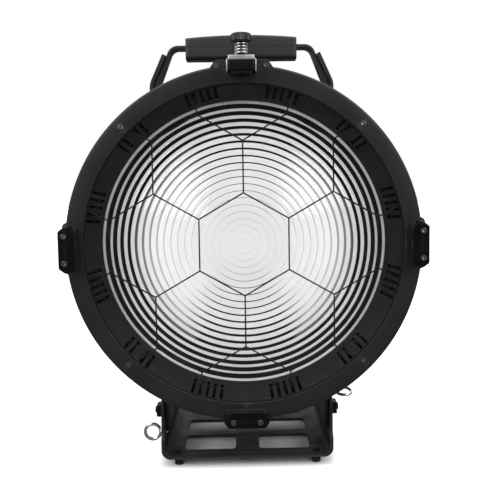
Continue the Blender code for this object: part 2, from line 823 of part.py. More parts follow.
def pinion_loop():
    """Involute teeth with a tooth pointing straight down at the rack."""
    pitch_radius = MODULE * PINION_TEETH / 2
    pressure = math.radians(20)
    base = pitch_radius * math.cos(pressure)
    involute = math.tan(pressure) - pressure
    root, tip = pitch_radius - 1.15 * MODULE, pitch_radius + 0.80 * MODULE
    slack = TOOTH_SLACK / pitch_radius

    def half(radius):
        angle = math.acos(min(1.0, base / max(radius, base)))
        return math.pi / (2 * PINION_TEETH) - slack + involute - (math.tan(angle) - angle)

    points = []
    for i in range(PINION_TEETH):
        middle = -math.pi / 2 + 2 * math.pi * i / PINION_TEETH
        flank = [
            (root, 0.92 * half(base)),
            (base + 0.0001, half(base)),
            (pitch_radius, half(pitch_radius)),
            (tip, half(tip)),
        ]
        for radius, away in flank:
            points.append((radius * math.cos(middle - away), radius * math.sin(middle - away)))
        for radius, away in reversed(flank):
            points.append((radius * math.cos(middle + away), radius * math.sin(middle + away)))
    return points


def make_focus_drive():
    """The rack on the carriage, and the pinion, shaft, bush and knob that drive it."""
    pitch_radius = MODULE * PINION_TEETH / 2
    line_z = AXIS_Z - pitch_radius
    rack_x, rack_width, pinion_width = 0.1535, 0.0070, 0.0090
    teeth = rack_loop(0.092, 0.0080)
    rack = plate("gear_rack", [teeth], rack_width, ALONG_X, at(rack_x, PINION_DEPTH, line_z), "steel")
    foot_low = at(0.1400, CARRIAGE_DEPTH + 0.0043, line_z - 0.0078)
    foot_high = at(0.1520, CARRIAGE_DEPTH + 0.0090, line_z - 0.0030)
    join(rack, box("rack_foot", foot_low, foot_high))
    place = at(0, PINION_DEPTH, AXIS_Z)
    middle = place + Vector((rack_x, 0, 0))
    pinion = plate("focus_pinion", [pinion_loop()], pinion_width, ALONG_X, middle, "steel")
    join(pinion, round_bar("focus_shaft_bar", 0.0040, 0.1470, 0.2120, ALONG_X, place))
    bush = [
        (0.0044, 0.1795),
        (0.0080, 0.1795),
        (0.0080, 0.1864),
        (0.0110, 0.1864),
        (0.0110, 0.1890),
        (0.0044, 0.1890),
    ]
    turned("focus_bush", bush, ALONG_X, place, "steel", SMALL_STEPS)
    knob = [
        (0.0043, 0.1900),
        (0.0165, 0.1900),
        (0.0180, 0.1915),
        (0.0175, 0.2125),
        (0.0160, 0.2145),
        (0.0, 0.2145),
        (0.0, 0.2124),
        (0.0043, 0.2124),
    ]
    turned("focus_knob", knob, ALONG_X, place, "moulding", 24)


def make_driver():
    low, high = at(-0.060, 0.206, AXIS_Z - 0.166), at(0.060, 0.262, AXIS_Z - 0.120)
    box("driver_box", low, high, "aluminium", 0.0015)


# The carry handle.


def strap_path():
    middle = STRAP_TOP - STRAP_THICK / 2
    right = [
        (STRAP_CORNER - 0.0070, middle),
        (STRAP_CORNER - 0.0010, middle - 0.0022),
        (STRAP_CORNER + 0.0015, middle - 0.0070),
        (STRAP_END_X, STRAP_END_Z),
    ]
    return [(-x, z) for x, z in right[::-1]] + right


def make_strap():
    """A bar bent down at both ends, with a long hole in each arm."""
    place = at(0, HANDLE_DEPTH, 0)
    outline = ribbon(strap_path(), STRAP_THICK)
    strap = plate("handle_strap", [outline], STRAP_WIDTH, UPRIGHT, place, "frame_paint")
    lean = math.atan2(STRAP_END_X - STRAP_CORNER, STRAP_TOP - 0.009 - STRAP_END_Z)
    loop = rounded(-0.0045, -0.0120, 0.0045, 0.0120, 0.0040, 3)
    for side, sign in (("left", -1), ("right", 1)):
        turn = Matrix.Rotation(-sign * lean, 3, "Y") @ ALONG_X
        spot = at(sign * 0.1045, HANDLE_DEPTH, 0.5020)
        cut(strap, plate(f"strap_slot_{side}", [loop], 0.016, turn, spot))


def make_handle_bracket(side, sign):
    """A bent plate from the barrel to the strap's arm, its foot hollowed to the barrel."""
    path = [(sign * x, z) for x, z in ((0.1008, 0.5262), (0.1180, 0.4880), (0.1180, 0.4250))]
    place = at(0, HANDLE_DEPTH, 0)
    name = f"handle_bracket_{side}"
    bracket = plate(name, [ribbon(path, 0.0050)], 0.030, UPRIGHT, place, "frame_paint")
    low, high = sorted((sign * 0.1160, sign * 0.1380))
    foot_low, foot_high = at(low, HANDLE_DEPTH - 0.0148, 0.4050), at(high, HANDLE_DEPTH + 0.0148, 0.4300)
    join(bracket, box(f"bracket_foot_{side}", foot_low, foot_high))
    cut(bracket, barrel_cutter(f"bracket_cut_{side}", 0.060, 0.140))
    turn = Matrix.Rotation(-sign * math.atan2(0.0172, 0.0382), 3, "Y") @ ALONG_X
    spot = at(sign * 0.1100, HANDLE_DEPTH, 0.5050)
    cut(bracket, round_bar(f"bracket_hole_{side}", 0.0034, -0.008, 0.008, turn, spot))


def barrel_cutter(name, near, far):
    return round_bar(name, BARREL_RADIUS + GAP, near, far, ALONG_Y, at(0, 0, AXIS_Z), None, 96)


def make_grip():
    """Two halves that close on the strap, each with a channel for it."""
    half_depth, low, end_top = 0.0150, 0.5195, 0.5475
    seam = STRAP_TOP - STRAP_THICK / 2
    crown = [(-GRIP_HALF, end_top), (-0.036, 0.5500), (0.0, 0.5508), (0.036, 0.5500), (GRIP_HALF, end_top)]
    top, bottom = seam + GAP / 2, seam - GAP / 2
    halves = {
        "upper": [(GRIP_HALF, top), (-GRIP_HALF, top)] + crown,
        "lower": [(-GRIP_HALF, bottom), (GRIP_HALF, bottom), (GRIP_HALF, low), (-GRIP_HALF, low)],
    }
    channel, across = STRAP_THICK / 2 + GAP, STRAP_WIDTH / 2 + GAP
    for name, loop in halves.items():
        half = plate(f"grip_{name}", [loop], 2 * half_depth, UPRIGHT, at(0, HANDLE_DEPTH, 0), "grip_plastic")
        edge = half.modifiers.new("edges", "BEVEL")
        edge.width = 0.003
        edge.segments = 1
        edge.limit_method = "ANGLE"
        edge.angle_limit = math.radians(60)
        channel_low = at(-GRIP_HALF - 0.01, HANDLE_DEPTH - across, seam - channel)
        channel_high = at(GRIP_HALF + 0.01, HANDLE_DEPTH + across, seam + channel)
        cut(half, box(f"grip_channel_{name}", channel_low, channel_high))


# The cradle.


def cradle_section():
    outer, inner = CRADLE_HALF, CRADLE_HALF - CRADLE_SHEET
    floor, top = CRADLE_FLOOR, PLATE_TOP
    lift = floor + CRADLE_SHEET
    return (
        [(-outer, top)]
        + arc(-outer + BEND, floor + BEND, BEND, 180, 270, 5)
        + arc(outer - BEND, floor + BEND, BEND, 270, 360, 5)
        + [(outer, top), (inner, top)]
        + arc(inner - BEND + CRADLE_SHEET, lift + BEND - CRADLE_SHEET, BEND - CRADLE_SHEET, 360, 270, 5)
        + arc(-inner + BEND - CRADLE_SHEET, lift + BEND - CRADLE_SHEET, BEND - CRADLE_SHEET, 270, 180, 5)
        + [(-inner, top)]
    )


def plate_slope():
    """What is cut away behind and above the side plates."""
    beyond = CRADLE_BACK + 0.010
    return [
        (0.118, PLATE_TOP + 0.010),
        (0.118, PLATE_TOP),
        (CRADLE_BACK - 0.010, PLATE_REAR_TOP),
        (beyond, PLATE_REAR_TOP - 0.010),
        (beyond, PLATE_TOP + 0.010),
    ]


def plate_step():
    """What is cut away in front of the side plates."""
    before, step = CRADLE_FRONT - 0.010, CRADLE_FRONT + 0.006
    return [
        (before, 0.036),
        (CRADLE_FRONT, 0.036),
        (step, 0.042),
        (step, PLATE_TOP - 0.012),
        (CRADLE_FRONT + 0.018, PLATE_TOP),
        (CRADLE_FRONT + 0.018, PLATE_TOP + 0.010),
        (before, PLATE_TOP + 0.010),
    ]


def cut_base_slots(frame):
    for row, (near, far) in enumerate(((0.046, 0.089), (0.104, 0.142), (0.162, 0.195))):
        for side in (-1, 1):
            x0, x1 = sorted((side * 0.0155, side * 0.0815))
            loop = rounded(x0, FACE_Y + near, x1, FACE_Y + far, 0.006)
            place = (0, 0, CRADLE_FLOOR + CRADLE_SHEET / 2)
            cut(frame, plate(f"base_slot_{row}_{side}", [loop], 0.012, ALONG_Z, place))


def cut_side_holes(frame, side, sign, spare):
    """The pivot's hole and the lock bolt's curved slot, which ends some degrees past the tilt's end."""
    wall = at(sign * (CRADLE_HALF - CRADLE_SHEET / 2), PIVOT_DEPTH, PIVOT_Z)
    cut(frame, round_bar(f"pivot_hole_{side}", 0.0064, -0.006, 0.006, ALONG_X, wall))
    angle = EYE_ANGLES[side]
    slot = arc_slot(0, 0, EYE_ARC, angle - TILT_BACK - 2, angle + TILT_FORWARD + spare, 0.0042)
    cut(frame, plate(f"lock_slot_{side}", [slot], 0.012, ALONG_X, wall))


def make_cradle():
    depth = CRADLE_BACK - CRADLE_FRONT
    middle = at(0, (CRADLE_BACK + CRADLE_FRONT) / 2, 0)
    frame = plate("cradle_frame", [cradle_section()], depth, UPRIGHT, middle, "frame_paint")
    across = 2 * CRADLE_HALF + 0.02
    for name, loop in (("plate_slope", plate_slope()), ("plate_step", plate_step())):
        cut(frame, plate(name, [loop], across, ALONG_X, at(0, 0, 0)))
    cut_base_slots(frame)
    cut_side_holes(frame, "left", -1, 2)
    cut_side_holes(frame, "right", 1, 12)


def make_feet():
    profile = [(0.0, 0.0), (0.0056, 0.0), (0.0052, 0.0097), (0.0, 0.0097)]
    for depth, end in ((0.037, "front"), (0.222, "rear")):
        for side, sign in (("left", -1), ("right", 1)):
            turned(f"foot_{end}_{side}", profile, ALONG_Z, at(sign * 0.088, depth, 0), "rubber", 12)


def cheek_loop():
    """The tilt cheek's side: round about the pivot below, and wide where it meets the barrel."""
    top = AXIS_Z - 0.150
    low = arc(PIVOT_DEPTH, PIVOT_Z, 0.018, 200, 340, 7)
    return low + [(0.118, 0.056), (0.128, 0.076), (0.128, top), (0.030, top), (0.036, 0.080), (0.046, 0.038)]


def make_tilt():
    for side, sign in (("left", -1), ("right", 1)):
        t = math.radians(EYE_ANGLES[side])
        bolt = at(0, PIVOT_DEPTH + EYE_ARC * math.cos(t), PIVOT_Z + EYE_ARC * math.sin(t))
        make_cheek(side, sign, bolt)
        make_hub(side, sign)
        make_eye_bolt(side, sign, bolt)


def make_cheek(side, sign, bolt):
    thick = 0.0050
    middle = Vector((sign * (CRADLE_HALF - CRADLE_SHEET - 0.0005 - thick / 2), 0, 0))
    cheek = plate(f"tilt_cheek_{side}", [cheek_loop()], thick, ALONG_X, at(middle.x, 0, 0), "frame_paint")
    cut(cheek, barrel_cutter(f"cheek_cut_{side}", 0.010, 0.160))
    pivot = at(0, PIVOT_DEPTH, PIVOT_Z) + middle
    cut(cheek, round_bar(f"pin_hole_{side}", 0.0064, -0.02, 0.02, ALONG_X, pivot))
    cut(cheek, round_bar(f"bolt_hole_{side}", 0.0038, -0.02, 0.02, ALONG_X, bolt + middle))


def make_hub(side, sign):
    """The pivot pin, with a square block outside the cradle's side plate."""
    half = 0.008
    low, high = sorted((sign * (CRADLE_HALF - CRADLE_SHEET - 0.0060), sign * (CRADLE_HALF + 0.0040)))
    hub = round_bar(f"pivot_hub_{side}", 0.0060, low, high, ALONG_X, at(0, PIVOT_DEPTH, PIVOT_Z), "gloss_black")
    x0, x1 = sorted((sign * (CRADLE_HALF + GAP), sign * (CRADLE_HALF + 0.0115)))
    block_low = at(x0, PIVOT_DEPTH - half, PIVOT_Z - half)
    join(hub, box(f"hub_block_{side}", block_low, at(x1, PIVOT_DEPTH + half, PIVOT_Z + half)))


def make_eye_bolt(side, sign, place):
    """A threaded shank, a collar against the side plate and a ring to turn it by."""
    start, collar = CRADLE_HALF - CRADLE_SHEET - 0.005, CRADLE_HALF + GAP
    ring_radius, thick = 0.0103, 0.0017
    reach = collar + EYE_REACH[side]
    half_profile = [
        (0.0, start),
        (0.0035, start),
        (0.0035, collar),
        (0.0062, collar),
        (0.0062, collar + 0.0022),
        (0.0040, collar + 0.0032),
        (0.0026, reach),
        (0.0026, reach + 0.0015),
        (0.0, reach + 0.0015),
    ]
    profile = [(radius, sign * height) for radius, height in half_profile]
    bolt = turned(f"eye_bolt_{side}", profile, ALONG_X, place, "nickel", 12)
    section = arc(ring_radius, 0, thick, 0, 360, 9)[:-1]
    lean = Matrix.Rotation(math.radians(EYE_RING_TILT), 3, "X")
    face = ALONG_Y if side == "left" else lean @ ALONG_Z
    middle = place + Vector((sign * (reach + ring_radius), 0, 0))
    join(bolt, turned(f"eye_ring_{side}", section, face, middle, None, 16))


def shade(collection):
    for piece in collection.objects:
        if piece.type == "MESH":
            smooth(piece)


def build():
    global parts, cutters
    clear_scene()
    parts = new_collection("fresnel_spotlight")
    cutters = new_collection("cutters")
    make_front_ring()
    make_bezel()
    make_lens()
    make_wire_guard()
    for name, angle in (("left", 180), ("right", 0), ("bottom", 270)):
        make_ear(name, angle)
    make_latch()
    make_barrel()
    make_rear_cover()
    make_grille()
    make_inlet()
    make_switch()
    make_dimmer()
    make_fan()
    make_fan_rotor()
    make_slide()
    make_carriage()
    make_heat_sink()
    make_lamp()
    make_focus_drive()
    make_driver()
    make_strap()
    make_handle_bracket("left", -1)
    make_handle_bracket("right", 1)
    make_grip()
    make_cradle()
    make_feet()
    make_tilt()
    shade(parts)


build()
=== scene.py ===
"""The looks of a 350 mm fresnel spotlight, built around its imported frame. Metres, +Z up; the lens looks along -Y."""

import math

import bmesh
import bpy
from mathutils import Matrix, Vector


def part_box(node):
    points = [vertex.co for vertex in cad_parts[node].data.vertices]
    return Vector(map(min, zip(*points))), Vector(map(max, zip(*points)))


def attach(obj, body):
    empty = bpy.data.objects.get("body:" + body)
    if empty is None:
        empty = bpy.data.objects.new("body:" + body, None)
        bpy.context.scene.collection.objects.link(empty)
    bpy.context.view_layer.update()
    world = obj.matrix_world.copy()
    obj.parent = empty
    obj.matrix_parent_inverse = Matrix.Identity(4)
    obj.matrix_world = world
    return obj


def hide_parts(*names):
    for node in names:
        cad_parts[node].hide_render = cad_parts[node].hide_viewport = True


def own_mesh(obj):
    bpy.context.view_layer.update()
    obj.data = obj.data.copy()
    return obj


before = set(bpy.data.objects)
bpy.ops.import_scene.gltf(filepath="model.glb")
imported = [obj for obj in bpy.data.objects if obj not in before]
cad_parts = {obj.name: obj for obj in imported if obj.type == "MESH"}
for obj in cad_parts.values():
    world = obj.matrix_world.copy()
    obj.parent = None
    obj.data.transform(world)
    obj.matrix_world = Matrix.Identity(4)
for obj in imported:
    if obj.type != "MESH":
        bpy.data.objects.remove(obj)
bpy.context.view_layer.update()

# Places, some of them read from the frame.
FACE_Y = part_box("front_ring")[0].y
AXIS_Z = (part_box("barrel")[0].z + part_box("barrel")[1].z) / 2
RING_RADIUS = 0.2145
RING_BORE = 0.193
RING_DEPTH = 0.024
BARREL_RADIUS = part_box("barrel")[1].x
BARREL_REAR = 0.275
COVER_REAR = 0.300
LENS_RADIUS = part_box("fresnel_lens")[1].x
LENS_FRONT, LENS_SEAT, LENS_BACK = 0.0275, 0.0315, 0.0385
LENS_RINGS, LENS_CORE, LENS_PITCH = 20, 0.0047, 0.00863
BEZEL_MOUTH, BEZEL_THROAT = 0.1918, 0.175
BEZEL_FRONT, BEZEL_REAR = 0.0033, 0.029
BEZEL_SLOPE = (BEZEL_MOUTH - BEZEL_THROAT) / (BEZEL_REAR - BEZEL_FRONT)
GUARD_SIDE, GUARD_DEPTH, GUARD_WIRE = 0.063, 0.012, 0.0009
EAR_HALF, EAR_INNER, EAR_REACH, EAR_FRONT = 0.0275, 0.1975, 0.2175, -0.018
CRADLE_HALF, CRADLE_SHEET, CRADLE_FLOOR = 0.109, 0.004, 0.010
CRADLE_FRONT, CRADLE_BACK, CRADLE_BEND = 0.025, 0.235, 0.012
PLATE_TOP, PLATE_REAR_TOP = 0.092, 0.050
PIVOT_DEPTH, PIVOT_Z = 0.078, 0.056
EYE_ARC = 0.030
EYE_ANGLES = {"left": 228.0, "right": 19.0}
EYE_REACH = {"left": 0.0045, "right": 0.0155}
EYE_RING_TILT = 10.0
FOOT_SIDE, FOOT_DEPTHS = 0.088, {"front": 0.037, "rear": 0.222}
HANDLE_DEPTH = 0.100
STRAP_TOP, STRAP_THICK, STRAP_WIDTH = 0.538, 0.0043, 0.023
GRIP_HALF = 0.0725
CONTROL_Z = AXIS_Z - 0.115
PINION_DEPTH = 0.175
RING_SCREWS, EAR_SCREWS, GRILLE_SCREWS = 0.2023, 0.2108, 0.0615
SPRING_LOW, SPRING_HIGH, SPRING_LENGTH, LATCH_TRAVEL = 0.5060, 0.5217, 0.0157, 0.006
DIMMER_X, TICK_RADIUS = 0.050, 0.0172
DIAGONALS = (45, 135, 225, 315)
GAP = 0.0003

ROUND = 240
SMALL_ROUND = 48
WELD = 0.00001

ALONG_Y = Matrix(((1, 0, 0), (0, 0, 1), (0, -1, 0)))
ALONG_X = Matrix(((0, 0, 1), (1, 0, 0), (0, 1, 0)))
ALONG_Z = Matrix.Identity(3)
UPRIGHT = Matrix(((1, 0, 0), (0, 0, -1), (0, 1, 0)))
FLIP = Matrix.Rotation(math.pi, 3, "X")


def at(x, depth, z):
    """A point from its distance behind the front ring's face."""
    return Vector((x, FACE_Y + depth, z))


def placed(turn, place):
    return Matrix.Translation(place) @ turn.to_4x4()


# Materials.


class Nodes:
    """A small writer of node trees."""

    def __init__(self, name):
        self.material = bpy.data.materials.new(name)
        self.material.use_nodes = True
        self.tree = self.material.node_tree
        self.shader = self.tree.nodes["Principled BSDF"]
        self.place = self.add("ShaderNodeTexCoord").outputs["Object"]

    def add(self, kind, **settings):
        node = self.tree.nodes.new(kind)
        for key, value in settings.items():
            setattr(node, key, value)
        return node

    def link(self, source, target):
        self.tree.links.new(source, target)

    def feed(self, name, source):
        self.link(source, self.shader.inputs[name])

    def fix(self, name, value):
        self.shader.inputs[name].default_value = value

    def noise(self, scale, detail=3.0, stretch=None):
        node = self.add("ShaderNodeTexNoise")
        node.inputs["Scale"].default_value = scale
        node.inputs["Detail"].default_value = detail
        if stretch:
            mapping = self.add("ShaderNodeMapping")
            mapping.inputs["Scale"].default_value = stretch
            self.link(self.place, mapping.inputs["Vector"])
            self.link(mapping.outputs["Vector"], node.inputs["Vector"])
        else:
            self.link(self.place, node.inputs["Vector"])
        return node.outputs["Fac"]

    def spread(self, source, low, high, start=0.3, end=0.7):
        node = self.add("ShaderNodeMapRange")
        node.inputs["From Min"].default_value = start
        node.inputs["From Max"].default_value = end
        node.inputs["To Min"].default_value = low
        node.inputs["To Max"].default_value = high
        self.link(source, node.inputs["Value"])
        return node.outputs["Result"]

    def mix(self, factor, a, b):
        node = self.add("ShaderNodeMix", data_type="RGBA")
        self.link(factor, node.inputs["Factor"])
        for socket, value in ((node.inputs[6], a), (node.inputs[7], b)):
            if isinstance(value, tuple):
                socket.default_value = (*value, 1.0)
            else:
                self.link(value, socket)
        return node.outputs[2]

    def bump(self, source, strength, distance, before=None):
        node = self.add("ShaderNodeBump")
        node.inputs["Strength"].default_value = strength
        node.inputs["Distance"].default_value = distance
        self.link(source, node.inputs["Height"])
        if before is not None:
            self.link(before, node.inputs["Normal"])
        return node.outputs["Normal"]

    def math(self, operation, a, b=0.0):
        node = self.add("ShaderNodeMath", operation=operation)
        for socket, value in zip(node.inputs, (a, b)):
            if isinstance(value, float):
                socket.default_value = value
            else:
                self.link(value, socket)
        return node.outputs["Value"]

    def from_axis(self):
        """How far a point is from the object's own Z axis."""
        flat = self.add("ShaderNodeVectorMath", operation="MULTIPLY")
        flat.inputs[1].default_value = (1.0, 1.0, 0.0)
        self.link(self.place, flat.inputs[0])
        length = self.add("ShaderNodeVectorMath", operation="LENGTH")
        self.link(flat.outputs["Vector"], length.inputs[0])
        return length.outputs["Value"]

    def worn_edges(self, low, high):
        return self.spread(self.add("ShaderNodeNewGeometry").outputs["Pointiness"], 0.0, 1.0, low, high)


def scaled(colour, factor):
    return tuple(min(1.0, channel * factor) for channel in colour)


def painted(name, colour, rough, grain=1400.0, wear=0.35, gloss=0.32):
    """Powder coat: fine orange peel, a slow drift of tone, scuffs in the gloss and paler rubbed edges."""
    n = Nodes(name)
    tone = n.mix(n.spread(n.noise(14.0), 0.0, 1.0), scaled(colour, 0.82), scaled(colour, 1.18))
    dust = n.mix(n.spread(n.noise(420.0, 2.0), 0.0, 0.35, 0.62, 0.8), tone, scaled(colour, 1.9))
    edge = n.mix(n.worn_edges(0.53, 0.60), dust, scaled(colour, 1.0 + 6.0 * wear))
    n.feed("Base Color", edge)
    scuff = n.spread(n.noise(38.0, 6.0), rough - 0.07, rough + 0.09)
    n.feed("Roughness", scuff)
    peel = n.bump(n.noise(grain, 2.0), 0.35, 0.00006)
    n.feed("Normal", n.bump(n.noise(120.0, 3.0), 0.12, 0.0002, peel))
    n.fix("Specular IOR Level", gloss)
    return n.material


def moulded(name, colour, rough):
    """Moulded plastic with a spark-eroded grain."""
    n = Nodes(name)
    n.feed("Base Color", n.mix(n.spread(n.noise(30.0), 0.0, 1.0), scaled(colour, 0.88), scaled(colour, 1.12)))
    n.feed("Roughness", n.spread(n.noise(60.0, 4.0), rough - 0.05, rough + 0.08))
    n.feed("Normal", n.bump(n.noise(2200.0, 1.0), 0.5, 0.00006))
    return n.material


def metal(name, colour, rough, stretch=None, scale=900.0, marks=0.35):
    """Bare or plated metal: a drawn or turned grain, faint stains and uneven gloss."""
    n = Nodes(name)
    stain = n.mix(n.spread(n.noise(45.0, 5.0), 0.0, 1.0), scaled(colour, 0.84), scaled(colour, 1.06))
    n.feed("Base Color", stain)
    n.fix("Metallic", 1.0)
    n.feed("Roughness", n.spread(n.noise(70.0, 4.0), rough - 0.04, rough + 0.08))
    n.feed("Normal", n.bump(n.noise(scale, 2.0, stretch), marks, 0.00003))
    return n.material


def rubbery(name, colour):
    n = Nodes(name)
    n.feed("Base Color", n.mix(n.spread(n.noise(60.0), 0.0, 1.0), scaled(colour, 0.8), scaled(colour, 1.25)))
    n.feed("Roughness", n.spread(n.noise(90.0), 0.72, 0.9))
    n.feed("Normal", n.bump(n.noise(1600.0, 2.0), 0.5, 0.0001))
    return n.material


def lens_glass():
    """Clear pressed glass with a faint waviness."""
    n = Nodes("lens_glass")
    n.fix("Base Color", (0.97, 0.99, 0.985, 1.0))
    n.fix("Transmission Weight", 1.0)
    n.fix("IOR", 1.5)
    n.feed("Roughness", n.spread(n.noise(26.0, 3.0), 0.012, 0.035))
    n.feed("Normal", n.bump(n.noise(90.0, 2.0), 0.05, 0.0002))
    return n.material


def lens_back_painted_light():
    """The lens's back: a fine stipple in its bump, under a pale colour that is painted light, paler towards the rim,
    standing in for the light seen through the lens.
    """
    n = Nodes("stippled_glass_painted_light")
    # Painted light: the back's colour grows paler towards the rim, with a faint random drift.
    drift = n.math("ADD", n.spread(n.from_axis(), 0.0, 0.92, 0.04, 0.17), n.spread(n.noise(5.0, 2.0), 0.0, 0.08))
    n.feed("Base Color", n.mix(drift, (0.61, 0.615, 0.605), (0.92, 0.92, 0.905)))
    n.fix("Transmission Weight", 0.12)
    n.feed("Roughness", n.spread(n.noise(40.0), 0.5, 0.65))
    n.feed("Normal", n.bump(n.noise(1300.0, 1.0), 0.3, 0.0001))
    return n.material


def riser_coat_painted_shade():
    """The risers' coat: a black coat with painted shade in it, dense towards the rim and above and below the middle,
    thin towards the middle and at both sides of it, where the risers are painted pale like the bright facets beside
    them.
    """
    n = Nodes("riser_black_coat_painted_shade")
    radius = n.from_axis()
    split = n.add("ShaderNodeSeparateXYZ")
    n.link(n.place, split.inputs["Vector"])
    share = n.math("DIVIDE", n.math("ABSOLUTE", split.outputs["Y"]), n.math("MAXIMUM", radius, 0.001))
    # Painted shade: the coat goes black towards the rim and above and below the middle; where it is thin, the risers
    # are painted pale like the bright facets.
    rim = n.spread(radius, 0.0, 1.0, 0.100, 0.140)
    high = n.math("MULTIPLY", n.spread(share, 0.0, 1.0, 0.66, 0.90), n.spread(radius, 0.1, 1.0, 0.0, 0.055))
    cover = n.math("MAXIMUM", rim, high)
    n.feed("Base Color", n.mix(cover, (0.78, 0.79, 0.775), (0.005, 0.005, 0.005)))
    n.feed("Roughness", n.spread(n.noise(60.0, 4.0), 0.70, 0.85))
    n.feed("Normal", n.bump(n.noise(2200.0, 1.0), 0.5, 0.00006))
    n.fix("Specular IOR Level", 0.2)
    return n.material


def frosted():
    """The diffuser's opal sheet, faintly lit by the emitter behind it."""
    n = Nodes("opal_sheet")
    n.feed("Base Color", n.mix(n.spread(n.noise(8.0), 0.0, 1.0), (0.66, 0.67, 0.67), (0.74, 0.74, 0.73)))
    n.feed("Roughness", n.spread(n.noise(40.0), 0.45, 0.6))
    n.feed("Normal", n.bump(n.noise(1500.0, 1.0), 0.4, 0.00005))
    n.fix("Emission Color", (1.0, 0.99, 0.97, 1.0))
    n.fix("Emission Strength", 0.06)
    return n.material


def phosphor():
    n = Nodes("phosphor")
    n.feed("Base Color", n.mix(n.spread(n.noise(260.0), 0.0, 1.0), (0.80, 0.58, 0.10), (0.90, 0.72, 0.22)))
    n.feed("Roughness", n.spread(n.noise(300.0), 0.4, 0.6))
    return n.material


RING_PAINT = painted("ring_powder_coat", (0.0155, 0.016, 0.0185), 0.42)
BEZEL_PAINT = painted("bezel_matt_black", (0.006, 0.006, 0.0068), 0.50, wear=0.2, gloss=0.24)
GLOSS_BLACK = painted("gloss_black_paint", (0.002, 0.002, 0.0023), 0.24, grain=500.0, wear=0.8, gloss=0.22)
FRAME_PAINT = painted("frame_powder_coat", (0.019, 0.019, 0.0175), 0.44, grain=1100.0, wear=0.3)
GRIP_PLASTIC = moulded("grip_plastic", (0.019, 0.0195, 0.022), 0.50)
MOULDING = moulded("black_moulding", (0.016, 0.016, 0.018), 0.48)
RUBBER = rubbery("black_rubber", (0.012, 0.012, 0.012))
NICKEL = metal("polished_nickel", (0.78, 0.75, 0.70), 0.12, scale=300.0, marks=0.1)
STEEL = metal("turned_steel", (0.56, 0.56, 0.56), 0.30, stretch=(1.0, 12.0, 1.0))
DARK_STEEL = metal("blackened_steel", (0.045, 0.047, 0.045), 0.34)
SCREW = metal("screw_steel", (0.16, 0.16, 0.16), 0.26)
ALUMINIUM = metal("satin_aluminium", (0.80, 0.81, 0.83), 0.30, stretch=(1.0, 1.0, 14.0))
SILVER = metal("bright_reflector", (0.93, 0.93, 0.92), 0.16, scale=160.0, marks=0.12)
GLASS = lens_glass()
OPAL = frosted()
PHOSPHOR = phosphor()
BOARD = moulded("white_enamel", (0.74, 0.75, 0.74), 0.40)
LENS_BACK_PAINTED_LIGHT = lens_back_painted_light()
RISER_COAT_PAINTED_SHADE = riser_coat_painted_shade()

# Building blocks.


def link(name, mesh, matrix=None):
    made = bpy.data.objects.new(name, mesh)
    bpy.context.scene.collection.objects.link(made)
    made.matrix_world = matrix or Matrix.Identity(4)
    return made


def finished(edit, name, matrix=None):
    """Turns an edited mesh into an object."""
    mesh = bpy.data.meshes.new(name)
    edit.to_mesh(mesh)
    edit.free()
    return link(name, mesh, matrix)


def settle(piece):
    """Applies a piece's modifiers, or turns its curve into a mesh, in place."""
    bpy.context.view_layer.update()
    graph = bpy.context.evaluated_depsgraph_get()
    mesh = bpy.data.meshes.new_from_object(piece.evaluated_get(graph))
    edit = bmesh.new()
    edit.from_mesh(mesh)
    bmesh.ops.remove_doubles(edit, verts=edit.verts, dist=WELD)
    bmesh.ops.dissolve_degenerate(edit, edges=edit.edges, dist=WELD / 2)
    bmesh.ops.recalc_face_normals(edit, faces=edit.faces)
    edit.to_mesh(mesh)
    edit.free()
    mesh.materials.clear()
    name, matrix = piece.name, piece.matrix_world.copy()
    bpy.data.objects.remove(piece, do_unlink=True)
    return link(name, mesh, matrix)


def boolean(piece, others, operation):
    for other in others:
        step = piece.modifiers.new("step", "BOOLEAN")
        step.operation = operation
        step.object = other
    made = settle(piece)
    for other in others:
        bpy.data.objects.remove(other, do_unlink=True)
    return made


def cut(piece, *others):
    return boolean(piece, others, "DIFFERENCE")


def join(piece, *others):
    return boolean(piece, others, "UNION")


def fillet(points, radius, count=4, closed=True):
    """A polygon with its corners rounded off, and none rounded more than its sides allow."""
    made = []
    total = len(points)
    for i, here in enumerate(points):
        if not closed and i in (0, total - 1):
            made.append(here)
            continue
        point, before, after = Vector(here), Vector(points[i - 1]), Vector(points[(i + 1) % total])
        reach = min(radius, 0.45 * (before - point).length, 0.45 * (after - point).length)
        bend = (point - before).angle(after - point, 0.0)
        if bend < math.radians(12):
            made.append(here)
            continue
        start, end = point + (before - point).normalized() * reach, point + (after - point).normalized() * reach
        for k in range(count + 1):
            t = k / count
            made.append(tuple(start * (1 - t) ** 2 + point * 2 * t * (1 - t) + end * t * t))
    return made


def lathe(name, profile, turn, place, steps=ROUND, edge=0.0, count=3):
    """A closed profile of (radius, height) points spun about its own Z."""
    points = fillet(profile, edge, count) if edge else profile
    edit = bmesh.new()
    corners = [edit.verts.new((max(radius, 0.0), 0.0, height)) for radius, height in points]
    edges = [edit.edges.new(pair) for pair in zip(corners, corners[1:] + corners[:1])]
    bmesh.ops.spin(edit, geom=corners + edges, axis=(0, 0, 1), cent=(0, 0, 0), steps=steps,
                   angle=2 * math.pi, use_duplicate=False, use_merge=True)
    bmesh.ops.remove_doubles(edit, verts=edit.verts, dist=WELD)
    flat = [face for face in edit.faces if face.calc_area() < 1e-14]
    bmesh.ops.delete(edit, geom=flat, context="FACES_ONLY")
    bmesh.ops.delete(edit, geom=[e for e in edit.edges if not e.link_faces], context="EDGES")
    bmesh.ops.recalc_face_normals(edit, faces=edit.faces)
    return finished(edit, name, placed(turn, place))


def bar(name, radius, low, high, turn, place, edge=0.0004, steps=SMALL_ROUND):
    """A round bar along its own Z with eased ends."""
    profile = [(0.0, low), (radius, low), (radius, high), (0.0, high)]
    eased = [profile[0]] + fillet(profile, edge, 3, closed=False)[1:-1] + [profile[-1]]
    return lathe(name, eased, turn, place, steps)


